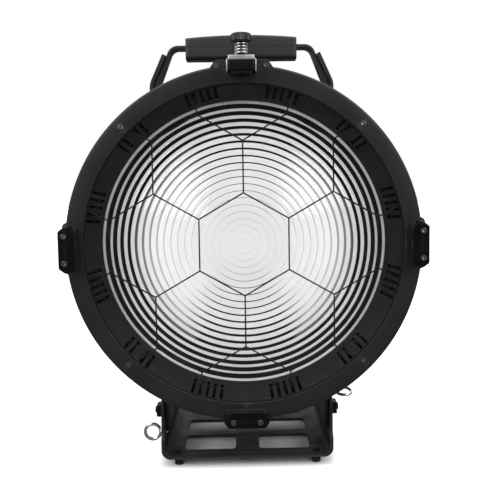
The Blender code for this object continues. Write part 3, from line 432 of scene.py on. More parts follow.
def slab(name, loops, thickness, turn, place, edge=0.0004, count=2):
    """A flat outline with holes and rounded edges, centred on its own plane."""
    curve = bpy.data.curves.new(name, "CURVE")
    curve.dimensions = "2D"
    curve.fill_mode = "BOTH"
    curve.bevel_depth = edge
    curve.bevel_resolution = count
    curve.offset = -edge
    curve.extrude = thickness / 2 - edge
    for loop in loops:
        spline = curve.splines.new("POLY")
        spline.points.add(len(loop) - 1)
        for point, (x, y) in zip(spline.points, loop):
            point.co = (x, y, 0.0, 1.0)
        spline.use_cyclic_u = True
    return settle(link(name, curve, placed(turn, place)))


def tube(name, points, radius, place):
    curve = bpy.data.curves.new(name, "CURVE")
    curve.dimensions = "3D"
    curve.bevel_depth = radius
    curve.bevel_resolution = 4
    curve.use_fill_caps = True
    spline = curve.splines.new("POLY")
    spline.points.add(len(points) - 1)
    for point, spot in zip(spline.points, points):
        point.co = (*spot, 1.0)
    return settle(link(name, curve, placed(ALONG_Z, place)))


def block(name, low, high, edge=0.0006, count=3):
    """A block with rounded edges."""
    low, high = Vector(low), Vector(high)
    edit = bmesh.new()
    bmesh.ops.create_cube(edit, size=1.0)
    bmesh.ops.scale(edit, vec=high - low, verts=edit.verts)
    if edge:
        bmesh.ops.bevel(edit, geom=edit.edges[:], offset=edge, segments=count, affect="EDGES", profile=0.5)
    return finished(edit, name, Matrix.Translation((low + high) / 2))


def arc(cx, cy, radius, start, end, count):
    steps = [math.radians(start + (end - start) * i / (count - 1)) for i in range(count)]
    return [(cx + radius * math.cos(t), cy + radius * math.sin(t)) for t in steps]


def circle(cx, cy, radius, count=SMALL_ROUND):
    return arc(cx, cy, radius, 0, 360, count + 1)[:-1]


def rounded(x0, y0, x1, y1, radius, count=8):
    return (
        arc(x1 - radius, y0 + radius, radius, -90, 0, count)
        + arc(x1 - radius, y1 - radius, radius, 0, 90, count)
        + arc(x0 + radius, y1 - radius, radius, 90, 180, count)
        + arc(x0 + radius, y0 + radius, radius, 180, 270, count)
    )


def arc_slot(cx, cy, radius, start, end, half, count=24):
    """A slot with round ends that follows an arc."""
    a, b = math.radians(start), math.radians(end)
    near = (cx + radius * math.cos(a), cy + radius * math.sin(a))
    far = (cx + radius * math.cos(b), cy + radius * math.sin(b))
    return (
        arc(cx, cy, radius + half, start, end, count)
        + arc(*far, half, end, end + 180, 11)[1:-1]
        + arc(cx, cy, radius - half, end, start, count)
        + arc(*near, half, start + 180, start + 360, 11)[1:-1]
    )


def ribbon(path, thickness):
    """The outline of a bent strip to the left and right of its path."""
    left, right = [], []
    for i, here in enumerate(path):
        point = Vector(here)
        before = (point - Vector(path[i - 1])).normalized() if i else None
        after = (Vector(path[i + 1]) - point).normalized() if i < len(path) - 1 else None
        first, last = before or after, after or before
        along = (first + last).normalized()
        side = Vector((-along.y, along.x))
        reach = thickness / 2 / side.dot(Vector((-last.y, last.x)))
        left.append(tuple(point + side * reach))
        right.append(tuple(point - side * reach))
    return left + right[::-1]


def coat(piece, material, angle):
    """Gives a piece its material and smooth shading, sharp where it bends by more than the angle."""
    piece.data.materials.clear()
    piece.data.materials.append(material)
    piece.data.shade_smooth()
    piece.data.set_sharp_from_angle(angle=math.radians(angle))


def dress(piece, body, material, *nodes, angle=32.0):
    """Coats a finished piece, attaches it to its body, and hides the packed nodes it stands for."""
    coat(piece, material, angle)
    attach(piece, body)
    if nodes:
        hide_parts(*nodes)
    return piece


def on_head(name, profile, edge=0.0006, steps=ROUND):
    return lathe(name, profile, ALONG_Y, at(0, 0, AXIS_Z), steps, edge)


def barrel_cutter(name, low, high):
    """The room that the barrel needs in a piece that hugs it."""
    return bar(name, BARREL_RADIUS + GAP, low, high, ALONG_Y, at(0, 0, AXIS_Z), steps=ROUND)


def head_spot(radius, angle, depth):
    t = math.radians(angle)
    return at(radius * math.cos(t), depth, AXIS_Z + radius * math.sin(t))


def radial_slab(name, loops, angle, low, high, edge=0.0006):
    """An outline drawn across and outwards, turned to an angle on the head's face."""
    turn = Matrix.Rotation(math.radians(90 - angle), 3, "Y") @ UPRIGHT
    return slab(name, loops, high - low, turn, at(0, (low + high) / 2, AXIS_Z), edge)


def socket_screw(name, place, turn, radius, height, *nodes, body="head", material=DARK_STEEL):
    """A round-headed screw with a hexagonal socket. Its head stands along the turn's own -Z from its place."""
    head = [(0.0, -height), (radius, -height), (radius, 0.0), (0.0, 0.0)]
    eased = [head[0]] + fillet(head, height * 0.35, 3, closed=False)[1:-1] + [head[-1]]
    screw = lathe(name, eased, turn, place, 32)
    hexagon = circle(0, 0, radius * 0.5, 6)
    inside = turn @ Vector((0, 0, -height))
    screw = cut(screw, slab(name + "_socket", [hexagon], height * 1.3, turn, Vector(place) + inside, edge=0.00001))
    return dress(screw, body, material, *nodes)


# The front of the head.


def make_front_ring():
    bore, wall, flange = BARREL_RADIUS + 0.0006, 0.0035, 0.0215
    profile = [(RING_BORE, 0.0), (RING_RADIUS - 0.0025, 0.0), (RING_RADIUS, 0.0025), (RING_RADIUS, RING_DEPTH),
               (bore, RING_DEPTH), (bore, flange), (RING_RADIUS - wall, flange), (RING_RADIUS - wall, 0.003),
               (RING_BORE, 0.003)]
    ring = on_head("ring_casting", profile, 0.0007)
    top = fillet([(-0.0385, 0.2050), (0.0385, 0.2050), (0.0375, 0.2105), (0.0310, 0.2198), (-0.0310, 0.2198),
                  (-0.0375, 0.2105)], 0.004, 6)
    tabs = [radial_slab("ring_top_tab", [top], 90, 0.0, 0.0235)]
    side = fillet([(-0.034, 0.205), (0.034, 0.205), (0.029, 0.2170), (-0.029, 0.2170)], 0.004, 6)
    for angle in (0, 180, 270):
        tabs.append(radial_slab(f"ring_tab_{angle}", [side], angle, 0.0, 0.0235))
    ring = join(ring, *tabs)
    hole = [(0.0, -0.002), (0.0046, -0.002), (0.0046, 0.0031), (0.0, 0.0031)]
    holes = [lathe(f"ring_hole_{a}", hole, ALONG_Y, head_spot(RING_SCREWS, a, 0), 32) for a in DIAGONALS]
    ring = cut(ring, *holes)
    dress(ring, "head", RING_PAINT, "front_ring")
    for i, angle in enumerate(DIAGONALS):
        socket_screw(f"ring_bolt_{i + 1}", head_spot(RING_SCREWS, angle, 0.0028), ALONG_Y, 0.0043, 0.0022,
                     f"ring_screw_{i + 1}", material=SCREW)


def slot_angles():
    for group in range(12):
        for step in range(-2, 3):
            if not (group in (1, 4, 7, 10) and step == 0):
                yield 15 + 30 * group + 2.7 * step


def make_bezel():
    thick = 0.0016
    profile = [(0.1967, BEZEL_FRONT), (BEZEL_MOUTH, BEZEL_FRONT), (BEZEL_THROAT, BEZEL_REAR), (BEZEL_THROAT, 0.0300),
               (0.1814, 0.0300), (0.1814, 0.0440), (0.1827, 0.0440), (0.1827, 0.0282),
               (BEZEL_THROAT + BEZEL_SLOPE * 0.0008 + thick, 0.0282),
               (BEZEL_MOUTH - BEZEL_SLOPE * 0.0017 + thick, 0.0050), (0.1967, 0.0050)]
    bezel = on_head("bezel_cone", profile, 0.0004, 360)
    lean = math.atan(BEZEL_SLOPE)
    depth = 0.0131
    radius = BEZEL_MOUTH - BEZEL_SLOPE * (depth - BEZEL_FRONT)
    edit = bmesh.new()
    shape = fillet([(-0.0019, -0.0108), (0.0019, -0.0108), (0.0019, 0.0108), (-0.0019, 0.0108)], 0.0014, 5)
    for angle in slot_angles():
        t = math.radians(angle)
        turn = Matrix.Rotation(-t, 4, "Y") @ Matrix.Rotation(lean, 4, "Z")
        spot = Matrix.Translation(Vector((radius * math.cos(t), depth, radius * math.sin(t)))) @ turn
        low = [edit.verts.new(spot @ Vector((-0.004, y, z))) for z, y in shape]
        high = [edit.verts.new(spot @ Vector((0.004, y, z))) for z, y in shape]
        edit.faces.new(low)
        edit.faces.new(high[::-1])
        for i in range(len(shape)):
            j = (i + 1) % len(shape)
            edit.faces.new((low[j], low[i], high[i], high[j]))
    bmesh.ops.recalc_face_normals(edit, faces=edit.faces)
    bezel = cut(bezel, finished(edit, "bezel_slots", Matrix.Translation(at(0, 0, AXIS_Z))))
    dress(bezel, "head", BEZEL_PAINT, "bezel")


def riser(i):
    """Where the step after a ring starts and ends: a wider one towards the rim."""
    middle = LENS_CORE + LENS_PITCH * i
    half = LENS_PITCH * (0.015 + 0.30 * (i / (LENS_RINGS - 1)) ** 2.6)
    return middle - half, middle + half


def lens_profile():
    """The pressed steps of a fresnel lens: each ring curves back from its crest, and a riser leads to the next."""
    profile, start = [], 0.0
    for i in range(LENS_RINGS):
        low, high = riser(i)
        width = low - start
        slope = 0.03 + 0.64 * (start + low) / 2 / LENS_RADIUS
        fall = min(slope * width, LENS_SEAT - LENS_FRONT - 0.0002)
        for k in range(5):
            t = k / 4
            profile.append((start + width * t, LENS_FRONT + fall * (0.55 * t + 0.45 * t * t)))
        start = high
    rim = LENS_RADIUS - 0.004
    return profile + [(start, LENS_FRONT), (rim, LENS_FRONT + 0.0010), (rim, LENS_SEAT), (LENS_RADIUS, LENS_SEAT),
                      (LENS_RADIUS, LENS_BACK), (0.0, LENS_BACK)]


def make_lens():
    lens = dress(on_head("lens_pressing", lens_profile(), 0.0), "head", GLASS, "fresnel_lens", angle=20.0)
    # Slot 1 is the risers' coat with its painted shade, slot 2 the lens's back, whose pale colour is painted light.
    lens.data.materials.append(RISER_COAT_PAINTED_SHADE)
    lens.data.materials.append(LENS_BACK_PAINTED_LIGHT)
    lens.visible_shadow = False
    risers = [riser(i) for i in range(LENS_RINGS)]
    for face in lens.data.polygons:
        middle = face.center
        radius = math.hypot(middle.x, middle.y)
        if middle.z > LENS_BACK - WELD:
            face.material_index = 2
        elif middle.z < LENS_SEAT and any(low < radius < high for low, high in risers):
            face.material_index = 1
    gasket = [(0.1757, 0.0303), (0.1811, 0.0303), (0.1811, 0.0403), (0.1757, 0.0403), (0.1757, LENS_BACK + GAP),
              (LENS_RADIUS + GAP, LENS_BACK + GAP), (LENS_RADIUS + GAP, LENS_SEAT - GAP), (0.1757, LENS_SEAT - GAP)]
    dress(on_head("gasket_ring", gasket, 0.0002), "head", RUBBER, "lens_gasket")
    retainer = [(0.1745, 0.0406), (0.1811, 0.0406), (0.1811, 0.0436), (0.1745, 0.0436)]
    dress(on_head("retainer_ring", retainer, 0.0003), "head", MOULDING, "lens_retainer")


def guard_net():
    """The corners and wires of seven hexagons, and the helper that finds or adds a corner; make_guard adds the hooked
    tail outwards from each outer corner.
    """
    corners, edges = [], set()

    def corner(x, y, z=0.0):
        for i, found in enumerate(corners):
            if math.dist(found, (x, y, z)) < GUARD_WIRE:
                return i
        corners.append((x, y, z))
        return len(corners) - 1

    centres = [(0.0, 0.0)]
    for k in range(6):
        t = math.radians(60 * k)
        centres.append((math.sqrt(3) * GUARD_SIDE * math.cos(t), math.sqrt(3) * GUARD_SIDE * math.sin(t)))
    for cx, cy in centres:
        ring = [corner(x, y) for x, y in arc(cx, cy, GUARD_SIDE, 30, 330, 6)]
        for a, b in zip(ring, ring[1:] + ring[:1]):
            edges.add((min(a, b), max(a, b)))
    return corners, edges, corner


def make_guard():
    corners, edges, corner = guard_net()
    reach, rise = BEZEL_MOUTH - 0.0022, 0.0070
    for i, (x, y, _) in enumerate(list(corners)):
        if math.hypot(x, y) < 2.5 * GUARD_SIDE:
            continue
        sector = math.radians(60 * round((math.degrees(math.atan2(y, x)) - 30) / 60) + 30)
        ux, uy = math.cos(sector), math.sin(sector)
        inward = x * ux + y * uy
        along = -inward + math.sqrt(inward * inward - x * x - y * y + reach * reach)
        edges.add((i, corner(x + ux * along, y + uy * along, rise)))
    curve = bpy.data.curves.new("guard_wires", "CURVE")
    curve.dimensions = "3D"
    curve.bevel_depth = GUARD_WIRE
    curve.bevel_resolution = 3
    curve.use_fill_caps = True
    for pair in sorted(edges):
        spline = curve.splines.new("POLY")
        spline.points.add(1)
        for point, i in zip(spline.points, pair):
            point.co = (*corners[i], 1.0)
    guard = settle(link("guard_wires", curve, placed(UPRIGHT, at(0, GUARD_DEPTH, AXIS_Z))))
    edit = bmesh.new()
    edit.from_mesh(guard.data)
    for spot in corners:
        bmesh.ops.create_icosphere(edit, subdivisions=2, radius=GUARD_WIRE * 1.2, matrix=Matrix.Translation(spot))
    edit.to_mesh(guard.data)
    edit.free()
    dress(guard, "head", GLOSS_BLACK, "wire_guard", angle=60.0)


def make_ear(name, angle):
    inner_side, outer_side, slant = 0.2060, 0.2100, 0.0055
    face = [(-EAR_HALF + 0.0070, EAR_INNER), (EAR_HALF - 0.0070, EAR_INNER), (EAR_HALF, inner_side),
            (EAR_HALF, outer_side), (EAR_HALF - slant, EAR_REACH), (-EAR_HALF + slant, EAR_REACH),
            (-EAR_HALF, outer_side), (-EAR_HALF, inner_side)]
    inset = 0.0006
    foot = [(-EAR_HALF + inset, inner_side + inset), (EAR_HALF - inset, inner_side + inset),
            (EAR_HALF - inset, outer_side - inset), (EAR_HALF - slant - inset, EAR_REACH - inset),
            (-EAR_HALF + slant + inset, EAR_REACH - inset), (-EAR_HALF + inset, outer_side - inset)]
    ear = radial_slab(f"ear_face_{name}", [fillet(face, 0.0012, 3)], angle, EAR_FRONT, EAR_FRONT + 0.005, 0.0011)
    ear = join(ear, radial_slab(f"ear_foot_{name}", [fillet(foot, 0.0010, 3)], angle, EAR_FRONT + 0.003, -GAP, 0.0004))
    t = math.radians(angle)
    across = Vector((-math.sin(t), 0, math.cos(t)))
    sink = [(0.0, -0.022), (0.0050, -0.022), (0.0050, -0.0150), (0.0, -0.0150)]
    places = [head_spot(EAR_SCREWS, angle, 0) + across * 0.0160 * side for side in (-1, 1)]
    ear = cut(ear, *[lathe(f"ear_sink_{name}_{i}", sink, ALONG_Y, place, 32) for i, place in enumerate(places)])
    dress(ear, "head", GLOSS_BLACK, f"ear_{name}")
    for i, place in enumerate(places):
        socket_screw(f"ear_bolt_{name}_{i + 1}", place + Vector((0, -0.0151, 0)), ALONG_Y, 0.0040, 0.0026,
                     material=SCREW)
    pad = fillet([(-0.0245, 0.2000), (0.0245, 0.2000), (0.0265, 0.2060), (-0.0265, 0.2060)], 0.0015, 4)
    dress(radial_slab(f"ear_pad_{name}", [pad], angle, -0.0016, 0.0, 0.0004), "head", RUBBER)


# The catch at the top.


def knurled_knob(name, radius, low, high, bore, bore_top, ridges, place, turn):
    """A knob with rounded ribs round its rim, relieved at both ends."""
    edit = bmesh.new()
    steps, levels = ridges * 6, 14
    rings = []
    for k in range(levels + 1):
        t = k / levels
        height = low + (high - low) * t
        ease = min(1.0, min(t, 1 - t) * 7.0)
        ring = []
        for i in range(steps):
            a = 2 * math.pi * i / steps
            rib = 0.5 + 0.5 * math.cos(a * ridges)
            r = radius - 0.0006 * (1 - ease) ** 2 * 2 - 0.0007 * (1 - rib) * ease
            ring.append(edit.verts.new((r * math.cos(a), r * math.sin(a), height)))
        rings.append(ring)
    for a, b in zip(rings, rings[1:]):
        for i in range(steps):
            j = (i + 1) % steps
            edit.faces.new((a[i], a[j], b[j], b[i]))
    edit.faces.new(rings[0][::-1])
    top = edit.faces.new(rings[-1])
    bmesh.ops.inset_region(edit, faces=[top], thickness=radius * 0.16, depth=0.0)
    bmesh.ops.inset_region(edit, faces=[top], thickness=radius * 0.06, depth=-0.0005)
    bmesh.ops.recalc_face_normals(edit, faces=edit.faces)
    knob = finished(edit, name, placed(turn, place))
    hole = lathe(name + "_bore", [(0.0, low - 0.001), (bore, low - 0.001), (bore, bore_top), (0.0, bore_top)], turn,
                 place, 32)
    return cut(knob, hole)


def make_latch():
    middle = at(0, -0.009, 0)
    shell = block("catch_block", at(-0.0150, EAR_FRONT, 0.4892), at(0.0150, -GAP, 0.5004), 0.0012)
    shell = cut(shell, bar("catch_bore", 0.0045, 0.480, 0.510, ALONG_Z, middle))
    dress(shell, "head", GLOSS_BLACK, "latch_block")
    path = fillet([(-0.0167, 0.4880), (-0.0167, 0.5018), (0.0167, 0.5018), (0.0167, 0.4880)], 0.0022, 6, closed=False)
    cover = slab("catch_plate", [ribbon(path, 0.0013)], 0.0170, UPRIGHT, at(0, -0.0092, 0), 0.0003)
    cap = block("catch_cap", at(-0.0152, -0.0177, 0.5008), at(0.0152, -0.0007, SPRING_LOW), 0.0007)
    cover = join(cover, cap)
    cover = cut(cover, bar("plate_bore", 0.0045, 0.495, 0.515, ALONG_Z, middle))
    dress(cover, "head", ALUMINIUM, "latch_plate")
    dress(bar("catch_rod", 0.0040, 0.4862, 0.5290, ALONG_Z, middle), "latch", DARK_STEEL, "latch_rod")
    claw = block("catch_claw", at(-0.0120, -0.0165, 0.4850), at(0.0120, -0.0030, 0.4886), 0.0008)
    claw = cut(claw, bar("claw_bore", 0.0040, 0.480, 0.495, ALONG_Z, middle))
    dress(claw, "latch", GLOSS_BLACK)
    knob = knurled_knob("catch_knob", 0.0118, SPRING_HIGH, 0.5314, 0.0043, 0.5293, 30, middle, ALONG_Z)
    dress(knob, "latch", DARK_STEEL, "latch_knob", angle=50.0)
    turns, per_turn, radius, thick = 4.0, 40, 0.0071, 0.00095
    low, high = SPRING_LOW + GAP + thick, SPRING_HIGH - GAP - thick
    count = int(turns * per_turn)
    coil = []
    for i in range(count + 1):
        t = 2 * math.pi * i / per_turn
        coil.append((radius * math.cos(t), radius * math.sin(t), low + (high - low) * i / count))
    spring = tube("catch_spring", coil, thick, middle)
    coat(spring, NICKEL, 50.0)
    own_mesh(spring)
    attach(spring, "head")
    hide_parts("latch_spring")
    for side in (-1, 1):
        socket_screw(f"tab_bolt_{'left' if side < 0 else 'right'}", at(side * 0.0290, 0.0002, 0.4965), ALONG_Y, 0.0035,
                     0.0012, material=SCREW)


# The body of the head.


def make_barrel():
    inner = BARREL_RADIUS - 0.003
    profile = [(inner, 0.0202), (0.2000, 0.0202), (0.2000, 0.0212), (BARREL_RADIUS, 0.0212),
               (BARREL_RADIUS, BARREL_REAR - 0.0004), (inner, BARREL_REAR - 0.0004)]
    barrel = on_head("barrel_tube", profile, 0.0005)
    shape = fillet([(-0.003, -0.018), (0.003, -0.018), (0.003, 0.018), (-0.003, 0.018)], 0.0029, 6)
    holes = []
    for angle in range(5, 176, 10):
        if abs(angle - 45) < 12 or abs(angle - 135) < 12:
            continue
        t = math.radians(angle)
        turn = Matrix.Rotation(-t, 3, "Y") @ ALONG_X @ Matrix.Rotation(math.radians(90), 3, "Z")
        place = head_spot(0.1845, angle, 0.238)
        holes.append(slab(f"vent_{angle}", [shape], 0.012, turn, place, 0.00001))
    holes.append(bar("bush_hole", 0.0083, 0.170, 0.200, ALONG_X, at(0, PINION_DEPTH, AXIS_Z)))
    barrel = cut(barrel, *holes)
    dress(barrel, "head", RING_PAINT, "barrel")
    band = [(BARREL_RADIUS - 0.0002, 0.2665), (BARREL_RADIUS + 0.0009, 0.2675), (BARREL_RADIUS + 0.0009, 0.2735),
            (BARREL_RADIUS - 0.0002, 0.2740)]
    dress(on_head("barrel_bead", band, 0.0002), "head", RING_PAINT)
    for i in range(8):
        angle = 22.5 + 45 * i
        turn = Matrix.Rotation(math.radians(-angle - 180), 3, "Y") @ ALONG_X
        socket_screw(f"barrel_bolt_{i + 1}", head_spot(BARREL_RADIUS + 0.0002, angle, 0.034), turn, 0.0034, 0.0018)


def make_rear_cover():
    wall = 0.003
    profile = [(BARREL_RADIUS, BARREL_REAR + GAP), (BARREL_RADIUS, COVER_REAR - 0.010), (0.1830, COVER_REAR - 0.003),
               (0.1760, COVER_REAR), (0.0600, COVER_REAR), (0.0600, COVER_REAR - wall), (0.1745, COVER_REAR - wall),
               (0.1795, COVER_REAR - 0.0065), (0.1795, BARREL_REAR - 0.006), (0.1826, BARREL_REAR - 0.006),
               (0.1826, BARREL_REAR + GAP)]
    cover = on_head("cover_pressing", profile, 0.0022)
    z = CONTROL_Z
    holes = [
        block("inlet_hole", at(-0.066, 0.290, z - 0.0125), at(-0.034, 0.305, z + 0.0125), 0.0),
        block("switch_hole", at(-0.0110, 0.290, z - 0.0145), at(0.0110, 0.305, z + 0.0145), 0.0),
        bar("dimmer_hole", 0.0042, 0.290, 0.305, ALONG_Y, at(DIMMER_X, 0, z)),
    ]
    cover = cut(cover, *holes)
    dress(cover, "head", RING_PAINT, "rear_cover")
    for i in range(6):
        socket_screw(f"cover_bolt_{i + 1}", head_spot(0.1640, 30 + 60 * i, COVER_REAR), ALONG_Y @ FLIP, 0.0036, 0.0020)
    rim = [(0.0700, COVER_REAR - 0.0002), (0.0760, COVER_REAR - 0.0002), (0.0752, COVER_REAR + 0.0012),
           (0.0708, COVER_REAR + 0.0012)]
    dress(on_head("grille_rim", rim, 0.0005), "head", RING_PAINT)


def make_grille():
    half, web = 0.0045, 0.003
    loops = [circle(0, 0, 0.0680, 144)]
    for radius in (0.018, 0.034, 0.050):
        spare = math.degrees((2 * half + web) / radius)
        for quarter in range(4):
            start = 90 * quarter + spare / 2
            loops.append(arc_slot(0, 0, radius, start, start + 90 - spare, half, 24))
    for k in range(4):
        t = math.radians(45 + 90 * k)
        loops.append(circle(GRILLE_SCREWS * math.cos(t), GRILLE_SCREWS * math.sin(t), 0.0019, 20))
    place = at(0, COVER_REAR + GAP + 0.00125, AXIS_Z)
    dress(slab("grille_plate", loops, 0.0025, UPRIGHT, place, 0.0004), "head", FRAME_PAINT, "rear_grille")
    for k in range(4):
        socket_screw(f"grille_bolt_{k + 1}", head_spot(GRILLE_SCREWS, 45 + 90 * k, COVER_REAR + 0.0028), ALONG_Y @ FLIP,
                     0.0032, 0.0018)


def make_controls():
    z = CONTROL_Z
    plate_loop = rounded(-0.080, z - 0.0235, 0.080, z + 0.0235, 0.006)
    cuts = [rounded(-0.0725, z - 0.0155, -0.0275, z + 0.0155, 0.0042),
            rounded(-0.0112, z - 0.0147, 0.0112, z + 0.0147, 0.0015), circle(DIMMER_X, z, 0.0135, 48)]
    panel = slab("control_panel", [plate_loop] + cuts, 0.0008, UPRIGHT, at(0, COVER_REAR + 0.0005, 0), 0.0002)
    dress(panel, "head", FRAME_PAINT)
    body = block("inlet_body", at(-0.0655, 0.281, z - 0.0120), at(-0.0345, 0.3015, z + 0.0120), 0.0008)
    flange = slab("inlet_flange", [rounded(-0.072, z - 0.015, -0.028, z + 0.015, 0.004)], 0.0022, UPRIGHT,
                  at(0, COVER_REAR + GAP + 0.0011, 0), 0.0006)
    body = join(body, flange)
    well = [(-0.0620, z - 0.009), (-0.0380, z - 0.009), (-0.0380, z + 0.004), (-0.0425, z + 0.009),
            (-0.0575, z + 0.009), (-0.0620, z + 0.004)]
    body = cut(body, slab("inlet_well", [fillet(well, 0.002, 5)], 0.020, UPRIGHT, at(0, 0.2965, 0), 0.0001))
    dress(body, "head", MOULDING, "power_inlet")
    for i, (x, dz) in enumerate(((-0.0570, -0.0025), (-0.0500, 0.0025), (-0.0430, -0.0025))):
        low, high = at(x - 0.0010, 0.285, z + dz - 0.0022), at(x + 0.0010, 0.2985, z + dz + 0.0022)
        blade = block(f"inlet_blade_{i + 1}", low, high, 0.0004)
        dress(blade, "head", NICKEL)
    for i, x in enumerate((-0.0695, -0.0305)):
        socket_screw(f"inlet_bolt_{i + 1}", at(x, COVER_REAR + 0.0025, z), ALONG_Y @ FLIP, 0.0017, 0.0008)
    outer = rounded(-0.0107, z - 0.0142, 0.0107, z + 0.0142, 0.0012)
    inner = rounded(-0.0080, z - 0.0112, 0.0080, z + 0.0112, 0.0008)
    rim = slab("switch_rim", [outer, inner], 0.0060, UPRIGHT, at(0, COVER_REAR - 0.0018, 0), 0.0005)
    dress(rim, "head", MOULDING, "switch_frame")
    rocker = [(0.0024, -0.0108), (0.0014, -0.0050), (0.0010, 0.0), (0.0022, 0.0050), (0.0044, 0.0108),
              (-0.0056, 0.0072), (-0.0056, -0.0072)]
    key = slab("switch_key", [fillet(rocker, 0.0008, 4)], 0.0150, ALONG_X, at(0, COVER_REAR, z), 0.0006)
    dress(key, "switch", GLOSS_BLACK, "power_switch")
    knob = knurled_knob("dimmer_cap", 0.0128, 0.0009, 0.0133, 0.0035, 0.0100, 24, at(DIMMER_X, COVER_REAR, z), ALONG_Y)
    dress(knob, "dimmer", MOULDING, "dimmer_knob", angle=50.0)
    low, high = at(0.0494, COVER_REAR + 0.0127, z + 0.0020), at(0.0506, COVER_REAR + 0.0135, z + 0.0098)
    mark = block("dimmer_mark", low, high, 0.0002)
    dress(mark, "dimmer", BOARD)
    for k in range(11):
        t = math.radians(-45 + 27 * k)
        spot = at(DIMMER_X + TICK_RADIUS * math.cos(t), COVER_REAR + 0.0009, z + TICK_RADIUS * math.sin(t))
        turn = Matrix.Rotation(-t, 3, "Y") @ UPRIGHT
        shape = rounded(-0.0014, -0.0003, 0.0014, 0.0003, 0.0002, 3)
        tick = slab(f"dimmer_tick_{k + 1}", [shape], 0.0003, turn, spot, 0.00005)
        dress(tick, "head", BOARD)


def make_optics():
    bowl = [(0.0620, 0.1497), (0.0620, 0.1437), (0.0345, 0.1437), (0.1135, 0.0970), (0.1118, 0.0970), (0.0315, 0.1452),
            (0.0600, 0.1452), (0.0600, 0.1497)]
    dress(on_head("reflector_bowl", bowl, 0.0003, 160), "carriage", SILVER, "reflector")
    sheet = [(0.0, 0.0973), (0.1092, 0.0973), (0.1092, 0.0985), (0.0, 0.0985)]
    dress(on_head("diffuser_sheet", sheet, 0.0, 120), "carriage", OPAL, "diffuser")


def make_focus_knob():
    place = at(0, PINION_DEPTH, AXIS_Z)
    knob = knurled_knob("focus_grip", 0.0178, 0.1902, 0.2143, 0.0043, 0.2124, 28, place, ALONG_X)
    dress(knob, "focus_drive", MOULDING, "focus_knob", angle=50.0)
    collar = [(0.0190, 0.1856), (0.0240, 0.1856), (0.0236, 0.1872), (0.0195, 0.1872)]
    dress(lathe("focus_collar", collar, ALONG_X, place, 64, 0.0004), "head", ALUMINIUM)


# The carry handle.


def strap_path():
    middle = STRAP_TOP - STRAP_THICK / 2
    right = fillet([(0.070, middle), (0.0915, middle), (0.111, 0.485)], 0.0095, 12, closed=False)
    return [(-x, z) for x, z in right[::-1]] + right


def make_handle():
    strap = slab("strap_bar", [ribbon(strap_path(), STRAP_THICK)], STRAP_WIDTH, UPRIGHT, at(0, HANDLE_DEPTH, 0), 0.0006)
    lean = math.atan2(0.0195, 0.0509)
    for side, name in ((-1, "left"), (1, "right")):
        loop = rounded(-0.0045, -0.0120, 0.0045, 0.0120, 0.0044)
        turn = Matrix.Rotation(-side * lean, 3, "Y") @ ALONG_X
        spot = at(side * 0.1045, HANDLE_DEPTH, 0.502)
        strap = cut(strap, slab(f"strap_slot_{name}", [loop], 0.016, turn, spot, 0.00001))
    dress(strap, "head", FRAME_PAINT, "handle_strap")
    for side, name in ((-1, "left"), (1, "right")):
        outer = fillet([(0.1008, 0.5262), (0.1180, 0.4880), (0.1180, 0.4230)], 0.005, 6, closed=False)
        path = [(side * x, z) for x, z in outer]
        bracket = slab(f"bracket_plate_{name}", [ribbon(path, 0.0050)], 0.030, UPRIGHT, at(0, HANDLE_DEPTH, 0), 0.0008)
        low, high = sorted((side * 0.1160, side * 0.1380))
        foot = block(f"bracket_toe_{name}", at(low, HANDLE_DEPTH - 0.0148, 0.4050),
                     at(high, HANDLE_DEPTH + 0.0148, 0.4220), 0.0012)
        bracket = join(bracket, foot)
        bracket = cut(bracket, barrel_cutter(f"bracket_cut_{name}", 0.060, 0.140))
        dress(bracket, "head", FRAME_PAINT, f"handle_bracket_{name}")
        bolt_turn = Matrix.Rotation(-side * math.atan2(0.0172, 0.0382), 3, "Y") @ ALONG_X
        if side > 0:
            bolt_turn = bolt_turn @ FLIP
        bolt_place = at(side * 0.1125, HANDLE_DEPTH, 0.5062)
        socket_screw(f"bracket_bolt_{name}", bolt_place, bolt_turn, 0.0046, 0.0012)
    make_grip()


